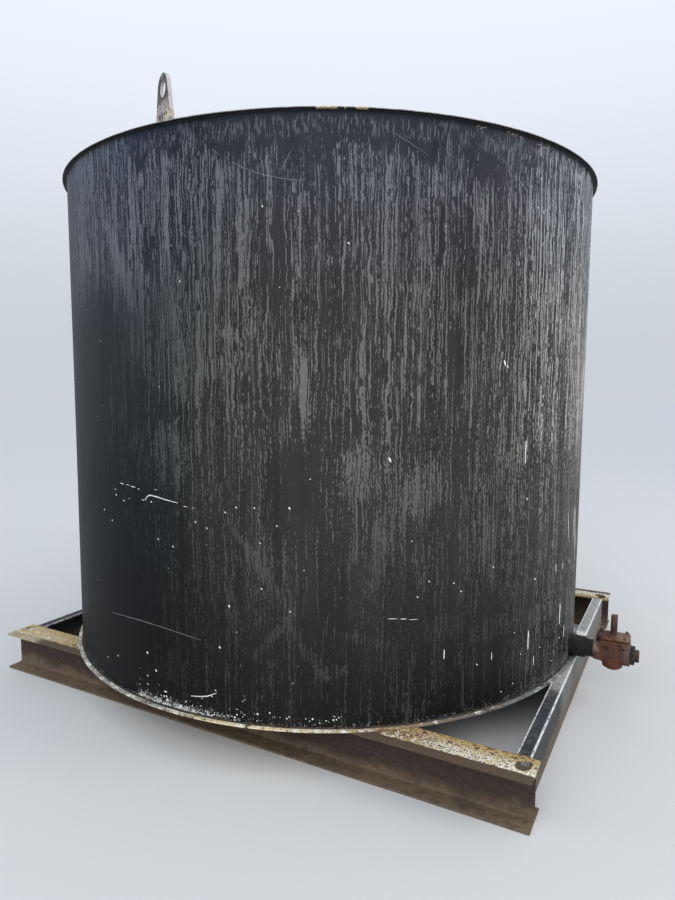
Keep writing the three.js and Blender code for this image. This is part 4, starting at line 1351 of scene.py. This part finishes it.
# Bolts: hexagon heads on short studs, standing on given points
def boltTree():
    tree, given = newTree("boltHeads", {
        "Across": 0.019, "Height": 0.011, "Stud": 0.006, "Stud height": 0.008, "Seed": 8})
    corner = calc(tree, "DIVIDE", given["Across"], math.sqrt(3))
    head = addNode(tree, "GeometryNodeMeshCone", {
        "Vertices": 6, "Side Segments": 2, "Radius Top": times(tree, corner, 0.95),
        "Radius Bottom": corner, "Depth": given["Height"]}).outputs[0]
    stud = addNode(tree, "GeometryNodeMeshCylinder", {
        "Vertices": 10, "Radius": given["Stud"], "Depth": given["Stud height"]}).outputs[0]
    lift = joinUp(tree, Z=calc(tree, "MULTIPLY_ADD", given["Stud height"], 0.5, given["Height"]))
    raised = addNode(tree, "GeometryNodeTransform", {"Geometry": stud, "Translation": lift}).outputs[0]
    bolt = addNode(tree, "GeometryNodeJoinGeometry")
    tree.links.new(head, bolt.inputs[0])
    tree.links.new(raised, bolt.inputs[0])
    turn = addNode(tree, "FunctionNodeRandomValue", {
        3: math.pi / 3, "Seed": given["Seed"]}, data_type="FLOAT")
    facing = joinUp(tree, Z=turn.outputs[1])
    bolts = addNode(tree, "GeometryNodeInstanceOnPoints", {
        "Points": given["Geometry"], "Instance": bolt.outputs[0], "Rotation": facing})
    return endTree(tree, given, bolts.outputs[0])


trees = {"weld": weldTree(), "mark": markTree(), "speck": speckTree(), "bolt": boltTree()}


# A mesh of points, with edges along each line unless edges is False, for the trees to work on
def hostMesh(name, lines, closed=False, widths=None, edges=True):
    vertices = []
    links = []
    for line in lines:
        first = len(vertices)
        vertices += [tuple(point) for point in line]
        if edges:
            links += [(first + step, first + step + 1) for step in range(len(line) - 1)]
            if closed:
                links.append((len(vertices) - 1, first))
    mesh = bpy.data.meshes.new(name)
    mesh.from_pydata(vertices, links, [])
    if widths:
        attribute = mesh.attributes.new("wide", "FLOAT", "POINT")
        attribute.data.foreach_set("value", [width for line in widths for width in line])
    return addObject(name, mesh)


def runTree(host, tree, material, sizes, sharp=40):
    modifier = host.modifiers.new(tree.name, "NODES")
    modifier.node_group = tree
    for item in tree.interface.items_tree:
        if item.item_type != "SOCKET" or item.in_out != "INPUT":
            continue
        if item.name == "Material":
            modifier[item.identifier] = material
        elif item.name in sizes:
            modifier[item.identifier] = sizes[item.name]
    settle(host, sharp)
    host.data.materials.clear()
    host.data.materials.append(material)
    host.data.polygons.foreach_set("material_index", [0] * len(host.data.polygons))
    return host


def ringPoints(radius, height, count, start=0, end=360, centre=(0, 0)):
    full = abs(end - start) >= 360
    steps = count if full else count + 1
    points = []
    for step in range(steps):
        turn = math.radians(start + (end - start) * step / count)
        points.append((centre[0] + radius * math.cos(turn), centre[1] + radius * math.sin(turn), height))
    return points


welds = {
    "foot": {"Spacing": 0.0075, "Size": 0.0062}, "rim": {"Spacing": 0.009, "Size": 0.0052},
    "seam": {"Spacing": 0.006, "Size": 0.0050}, "fitting": {"Spacing": 0.005, "Size": 0.0050},
    "skid": {"Spacing": 0.005, "Size": 0.0048},
    "seamAt": 100, "roofSeamsAt": (28, 118, 208, 298), "hatchRadius": 0.1100,
}


def weld(name, lines, kind, paint, closed=True):
    return runTree(hostMesh(name, lines, closed), trees["weld"], paints[paint], welds[kind])


# A point just over the roof
def onRoof(x, y, lift=0.0005):
    return x, y, roofTop(math.hypot(x, y)) + lift


# The line round a lug's foot
def lugFoot(node):
    centre = Vector((*middleOf(node)[:2], 0))
    turn = Matrix.Rotation(lugTurn, 3, "Z")
    corners = []
    for u, v in ((-0.09, -0.009), (0.09, -0.009), (0.09, 0.009), (-0.09, 0.009)):
        corners.append(turn @ Vector((u, v, 0)) + centre)
    line = []
    for index, corner in enumerate(corners):
        for share in evenly(0, 1, 12)[:-1]:
            line.append(onRoof(*corner.lerp(corners[(index + 1) % 4], share)[:2]))
    return line


def allWelds():
    seam = [shellPoint(welds["seamAt"], height, -0.0012) for height in evenly(0.01, 2.42, 40)]
    made = [
        weld("weld_foot", [ringPoints(shellRadius + 0.001, bottomHigh.z + 0.001, 360)], "foot", "weldFoot"),
        weld("weld_rim", [ringPoints(shellRadius + 0.001, roofLow.z + 0.0012, 360)], "rim", "weldBlack"),
        weld("weld_seam", [seam], "seam", "weldBlack", False),
    ]
    radial = []
    for degrees in welds["roofSeamsAt"]:
        turn = math.radians(degrees)
        line = []
        for radius in evenly(0.085, roofRadius - 0.012, 20):
            line.append((radius * math.cos(turn), radius * math.sin(turn), roofTop(radius) - 0.0022))
        radial.append(line)
    made.append(weld("weld_roof", radial, "seam", "roof", False))
    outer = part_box("outlet_coupling")[1].z - outletZ + 0.001
    ring = []
    for step in range(60):
        turn = 2 * math.pi * step / 60
        y = outer * math.cos(turn)
        ring.append((math.sqrt(shellRadius ** 2 - y * y) + 0.001, y, outletZ + outer * math.sin(turn)))
    made.append(weld("weld_coupling", [ring], "fitting", "nozzle"))
    around = [onRoof(x, y) for x, y, _ in ringPoints(welds["hatchRadius"], 0, 60, centre=(hatchX, 0))]
    made.append(weld("weld_hatch", [around], "fitting", "roof"))
    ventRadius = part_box("vent_coupling")[1].x
    around = ringPoints(ventRadius + 0.0006, roofTop(ventRadius) + 0.0005, 60)
    made.append(weld("weld_vent", [around], "fitting", "roof"))
    for node in lugs:
        made.append(weld("weld_" + node.replace("lifting_", ""), [lugFoot(node)], "fitting", "weldLug"))
    ends = []
    for node in channels:
        low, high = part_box(node)
        web = low.x if node == "end_channel_left" else high.x
        for y in (low.y, high.y):
            ends.append([(low.x + 0.004, y, high.z - 0.0015), (high.x - 0.004, y, high.z - 0.0015)])
            ends.append([(web, y, 0.012), (web, y, high.z - 0.012)])
    made.append(weld("weld_skid", ends, "skid", "weldSkid", False))
    return made


# Scratches, chips and drips on the shell. A line's points are (angle, height, half width), in degrees and
# metres.
marks = {
    "hook": [(-94.6, 0.908, 0.0010), (-94.0, 0.926, 0.0022), (-93.3, 0.934, 0.0026), (-91.6, 0.930, 0.0024),
             (-89.6, 0.922, 0.0020), (-87.1, 0.914, 0.0010)],
    "curl": [(-85.2, 0.079, 0.0010), (-83.6, 0.084, 0.0020), (-81.9, 0.093, 0.0026), (-80.1, 0.115, 0.0010)],
    "slanted": ([(-7.0, 0.790, 0.0015), (-6.2, 0.710, 0.0030), (-5.5, 0.630, 0.0010)],
                [(-1.5, 0.770, 0.0020), (0.0, 0.640, 0.0044), (1.0, 0.500, 0.0014)]),
    # start, end, height, half width
    "dashes": ((-101.4, -100.2, 0.967, 0.0018), (-99.6, -98.6, 0.966, 0.0012), (-98.2, -97.0, 0.961, 0.0021),
               (-96.4, -95.8, 0.955, 0.0014), (-92.2, -91.5, 0.962, 0.0012), (-86.0, -85.2, 0.903, 0.0013),
               (-84.3, -83.9, 0.900, 0.0012), (-51.5, -49.9, 0.461, 0.0016), (-49.4, -48.3, 0.457, 0.0019),
               (-47.9, -46.4, 0.451, 0.0013), (-103.4, -102.7, 0.935, 0.0011),
               (-99.0, -98.5, 0.905, 0.0010)),
    # angle, low, high, half width
    "drips": ((-22.0, 0.205, 0.295, 0.0042), (-9.6, 0.240, 0.350, 0.0052), (-6.6, 0.150, 0.215, 0.0040),
              (-41.5, 0.262, 0.305, 0.0034), (-2.2, 0.640, 0.800, 0.0030), (-0.6, 0.690, 0.790, 0.0022),
              (-24.7, 1.070, 1.170, 0.0040), (-31.6, 0.214, 0.248, 0.0034), (-20.0, 0.115, 0.160, 0.0028),
              (-12.5, 0.520, 0.560, 0.0036), (-9.0, 0.515, 0.550, 0.0036), (-4.8, 0.520, 0.545, 0.0036)),
    # angle, height, half width, half height
    "chips": ((-30.6, 1.505, 0.0055, 0.012), (-51.5, 1.115, 0.0050, 0.010), (-29.9, 1.490, 0.0030, 0.006),
              (-20.5, 0.530, 0.0036, 0.005), (-23.8, 0.910, 0.0034, 0.006), (-58.3, 1.950, 0.0034, 0.004),
              (-9.3, 0.170, 0.0036, 0.004), (-34.8, 0.210, 0.0030, 0.004)),
    # the places of all the dots of one half width
    "dots": {
        0.0044: ((-77.6, 0.499), (-94.9, 0.221), (-92.8, 0.151), (-79.4, 0.317), (-67.4, 0.920)),
        0.0028: ((-100.4, 0.890), (-102.8, 0.909), (-107.3, 0.826), (-104.4, 0.786), (-93.0, 0.905),
                 (-95.1, 0.908), (-91.6, 0.746), (-88.3, 0.724), (-83.6, 0.841), (-81.5, 0.820),
                 (-78.1, 0.891), (-76.2, 0.915), (-73.1, 0.916), (-72.2, 0.773), (-69.4, 0.846),
                 (-67.3, 0.494), (-72.0, 0.584), (-103.8, 0.147), (-107.8, 0.111), (-95.0, 0.114),
                 (-95.0, 0.074), (-81.0, 0.097), (-80.3, 0.125), (-31.8, 0.632), (-44.5, 0.606),
                 (-39.9, 0.587), (-38.5, 0.548), (-46.5, 0.544), (-26.0, 0.308), (-24.1, 0.197),
                 (-13.0, 0.083), (-26.0, 0.071), (-29.0, 0.053), (-17.9, 0.188)),
    },
    "faint": ([(-105.6, 0.346, 0.0008), (-101, 0.355, 0.0012), (-96, 0.361, 0.0015), (-91, 0.358, 0.0013),
               (-86, 0.346, 0.0012), (-82.9, 0.336, 0.0007)],
              [(-79.5, 2.314, 0.0006), (-78.9, 2.302, 0.0011), (-78.2, 2.290, 0.0006)],
              [(-76.2, 2.260, 0.0007), (-74.5, 2.237, 0.0011), (-71.4, 2.207, 0.0009),
               (-68.3, 2.189, 0.0010), (-66.4, 2.183, 0.0012), (-65.2, 2.182, 0.0006)],
              [(-67.0, 2.292, 0.0005), (-67.8, 2.255, 0.0009), (-68.9, 2.206, 0.0005)],
              [(-51.5, 2.360, 0.0005), (-49.0, 2.330, 0.0009), (-46.0, 2.290, 0.0005)]),
    # angle, height, half width
    "rusty": ((-37.6, 2.414, 0.0045), (-36.9, 2.410, 0.0070), (-36.2, 2.415, 0.0040), (-31.4, 2.418, 0.0050),
              (-30.5, 2.414, 0.0080), (-29.6, 2.417, 0.0055), (-28.6, 2.412, 0.0045), (-24.0, 2.405, 0.0040),
              (-23.0, 2.398, 0.0065), (-22.1, 2.402, 0.0045), (-18.6, 2.395, 0.0040), (-14.2, 2.400, 0.0055),
              (-12.8, 2.390, 0.0045), (-9.4, 2.385, 0.0050), (-7.2, 2.402, 0.0040)),
    "longestStep": 0.6, "flat": 0.35, "lift": -0.0003,
}


# Adds points to a line, so that it follows the round wall
def filled(line):
    dense = [line[0]]
    for first, second in zip(line, line[1:]):
        count = max(1, math.ceil(abs(second[0] - first[0]) / marks["longestStep"]))
        for share in evenly(0, 1, count)[1:]:
            dense.append([start + (end - start) * share for start, end in zip(first, second)])
    return dense


def shellMarks():
    white = [marks["hook"], marks["curl"], *marks["slanted"]]
    for start, end, height, wide in marks["dashes"]:
        white.append([(start, height, wide * 0.5), ((start + end) / 2, height - 0.001, wide),
                      (end, height - 0.002, wide * 0.4)])
    for degrees, low, high, wide in marks["drips"]:
        white.append([(degrees, high, wide * 0.5), (degrees + 0.05, high - 0.02, wide),
                      (degrees - 0.04, (low + high) / 2, wide * 0.75),
                      (degrees + 0.03, low + 0.012, wide * 0.8), (degrees, low, wide * 0.3)])
    for degrees, height, wide, tall in marks["chips"]:
        white.append([(degrees - 0.2, height + tall, wide * 0.5), (degrees, height, wide),
                      (degrees + 0.15, height - tall, wide * 0.3)])
    for wide, spots in marks["dots"].items():
        for degrees, height in spots:
            white.append([(degrees - 0.12, height + wide, wide * 0.6), (degrees, height, wide),
                          (degrees + 0.12, height - wide, wide * 0.4)])
    rusty = []
    for degrees, height, wide in marks["rusty"]:
        rusty.append([(degrees - 0.30, height + 0.008, wide * 0.25), (degrees, height + 0.012, wide * 0.75),
                      (degrees + 0.35, height + 0.015, wide * 0.2)])
    made = []
    for paint, lines in (("white", white), ("faint", marks["faint"]), ("rusty", rusty)):
        lines = [filled(line) for line in lines]
        points = [[shellPoint(*point[:2], marks["lift"]) for point in line] for line in lines]
        host = hostMesh("marks_" + paint, points, widths=[[point[2] for point in line] for line in lines])
        made.append(runTree(host, trees["mark"], paints[paint], {"Flat": marks["flat"]}))
    return made


# Small dots all over the wall and overspray just over the foot
def shellSpecks():
    patches = {
        "specks_foot": {"turn": (-99, -58), "height": (0.010, 0.060), "Density": 4200.0, "Seed": 5,
                        "Largest": 0.0050},
        "specks_foot_fade": {"turn": (-99, -72), "height": (0.05, 0.17), "Density": 520.0, "Seed": 12,
                             "Largest": 0.0052},
        "specks_wall": {"turn": (-150, 12), "height": (0.12, 2.30), "Density": 26.0, "Seed": 21,
                        "Largest": 0.0040},
    }
    made = []
    for name, patch in patches.items():
        columns = evenly(*patch["turn"], 60)
        rows = evenly(*patch["height"], 12)
        vertices = [tuple(shellPoint(degrees, row, 0.0002)) for degrees in columns for row in rows]
        faces = []
        for column in range(len(columns) - 1):
            for row in range(len(rows) - 1):
                corner = column * len(rows) + row
                faces.append([corner, corner + len(rows), corner + len(rows) + 1, corner + 1])
        mesh = bpy.data.meshes.new(name)
        mesh.from_pydata(vertices, [], faces)
        made.append(runTree(addObject(name, mesh), trees["speck"], paints["white"], patch))
    return made


bolts = {
    "cover": {"Across": 0.019, "Height": 0.009, "Stud": 0.0055, "Stud height": 0.006},
    "hatch": {"Across": 0.024, "Height": 0.013, "Stud": 0.0075, "Stud height": 0.008},
    "coverInset": 0.019, "hatchRadius": 0.143, "hatchCount": 12, "hatchLift": 0.0098,
}


def allBolts():
    v = valve
    top = outletZ + v["flangeHigh"] + v["gap"] + 2 * v["plate"] + v["waist"]
    x = v["length"] / 2 - bolts["coverInset"]
    y = v["width"] / 2 - bolts["coverInset"]
    onCover = [(stemX + a * x, b * y, top) for a in (-1, 1) for b in (-1, 1)]
    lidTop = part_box("hatch_neck")[1].z + bolts["hatchLift"]
    onLid = ringPoints(bolts["hatchRadius"], lidTop, bolts["hatchCount"], centre=(hatchX, 0))
    made = []
    for name, points, paint, size in (("bonnet_bolts", onCover, "nuts", "cover"),
                                      ("hatch_bolts", onLid, "plug", "hatch")):
        host = hostMesh(name, [points], edges=False)
        made.append(runTree(host, trees["bolt"], paints[paint], bolts[size], 25))
    return made


weldPieces = allWelds()
markPieces = shellMarks()
speckPieces = shellSpecks()
boltPieces = allBolts()
print("details made")


# Every piece rides on the tank but the square stem, which rides on its own body
def dress(piece, slot, *nodes, body="tank"):
    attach(piece, body)
    if nodes:
        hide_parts(*nodes)


dress(shell, "shell_paint", *[f"shell_plate_{index:02d}" for index in range(1, 13)])
dress(roof, "roof_paint", "roof_deck")
dress(disc, "bottom_edge", "bottom_plate")
for side, beam in runners.items():
    dress(beam, "skid_paint", *[f"runner_{side}_{part}" for part in ("left", "middle", "right")])
for node, beam in channels.items():
    dress(beam, "channel_paint", node)
for node, piece in lugs.items():
    dress(piece, "lug_paint", node)
dress(coupling, "nozzle_paint", "outlet_coupling")
dress(nipple, "nozzle_paint", "outlet_nipple")
dress(casting, "rusty_iron", "valve_body")
dress(bonnet, "rusty_iron", "valve_cover")
dress(stem, "rusty_iron", "valve_stem", body="stem")
dress(plug, "rusty_iron", "outlet_plug")
dress(hatchNeck, "roof_paint", "hatch_neck")
dress(hatchLid, "roof_paint", "hatch_cover")
dress(hatchHandle, "roof_paint")
dress(ventPipe, "roof_paint", "vent_coupling")
dress(ventShank, "roof_paint", "vent_plug")
dress(ventHead, "roof_paint")
for piece in weldPieces + markPieces + speckPieces:
    dress(piece, "shell_paint")
for piece in boltPieces:
    dress(piece, "rusty_iron")


# Floor, light and camera
studio = {
    "floor": (0.70, 0.70, 0.69), "floorHalf": 60.0, "air": (0.86, 0.92, 1.02), "airLow": (0.60, 0.64, 0.69),
    "eye": (1.9606, -3.5370, 1.6349), "look": (-0.4749, 0.8800), "pitch": 5.963, "roll": 0.311,
    "focal": 662.2, "pictureHeight": 900, "sensor": 36.0,
    "lamps": {
        "key": ((7.6, 1.2, 5.2), (0, 0, 1.2), 4.0, 150.0, (1.0, 0.95, 0.88)),
        "front": ((1.5, -8.0, 6.0), (0, 0, 1.0), 6.0, 190.0, (1.0, 0.98, 0.95)),
        "fill": ((-6.5, -6.0, 4.5), (0, 0, 1.2), 5.0, 25.0, (0.82, 0.90, 1.0)),
    },
}


def makeFloor():
    material = bpy.data.materials.new("floor")
    material.use_nodes = True
    shader = material.node_tree.nodes["Principled BSDF"]
    shader.inputs["Base Color"].default_value = (*studio["floor"], 1.0)
    shader.inputs["Roughness"].default_value = 0.9
    shader.inputs["Specular IOR Level"].default_value = 0.1
    half = studio["floorHalf"]
    mesh = bpy.data.meshes.new("floor")
    corners = [(-half, -half, 0), (half, -half, 0), (half, half, 0), (-half, half, 0)]
    mesh.from_pydata(corners, [], [(0, 1, 2, 3)])
    mesh.materials.append(material)
    addObject("floor", mesh)


def areaLight(name, spot, aim, size, power, colour):
    lamp = bpy.data.lights.new(name, "AREA")
    lamp.shape = "DISK"
    lamp.size = size
    lamp.energy = power
    lamp.color = colour
    holder = addObject(name, lamp)
    holder.location = spot
    holder.rotation_euler = (Vector(aim) - Vector(spot)).to_track_quat("-Z", "Y").to_euler()


def makeLight():
    world = bpy.data.worlds.new("studio")
    world.use_nodes = True
    tree = world.node_tree
    upwards = splitUp(tree, addNode(tree, "ShaderNodeTexCoord").outputs["Generated"])[2]
    air = mixColour(tree, rise(tree, upwards, 0.02, 0.50), studio["airLow"], studio["air"])
    plugIn(tree, tree.nodes["Background"].inputs["Color"], air)
    scene.world = world
    for name, lamp in studio["lamps"].items():
        areaLight(name, *lamp)


def makeCamera():
    lens = bpy.data.cameras.new("camera")
    lens.sensor_width = studio["sensor"]
    lens.lens = studio["focal"] * studio["sensor"] / studio["pictureHeight"]
    lens.clip_end = 200.0
    camera = addObject("camera", lens)
    look = Vector((*studio["look"], 0.0)).normalized()
    right = Vector((-look.y, look.x, 0.0)) * -1
    pitch = math.radians(studio["pitch"])
    roll = math.radians(studio["roll"])
    forward = look * math.cos(pitch) - Vector((0, 0, math.sin(pitch)))
    up = right.cross(forward)
    rolledRight = right * math.cos(roll) + up * math.sin(roll)
    rolledUp = up * math.cos(roll) - right * math.sin(roll)
    turn = Matrix((rolledRight, rolledUp, -forward)).transposed()
    camera.matrix_world = Matrix.Translation(studio["eye"]) @ turn.to_4x4()
    scene.camera = camera


makeFloor()
makeLight()
makeCamera()
scene.view_settings.view_transform = "Standard"
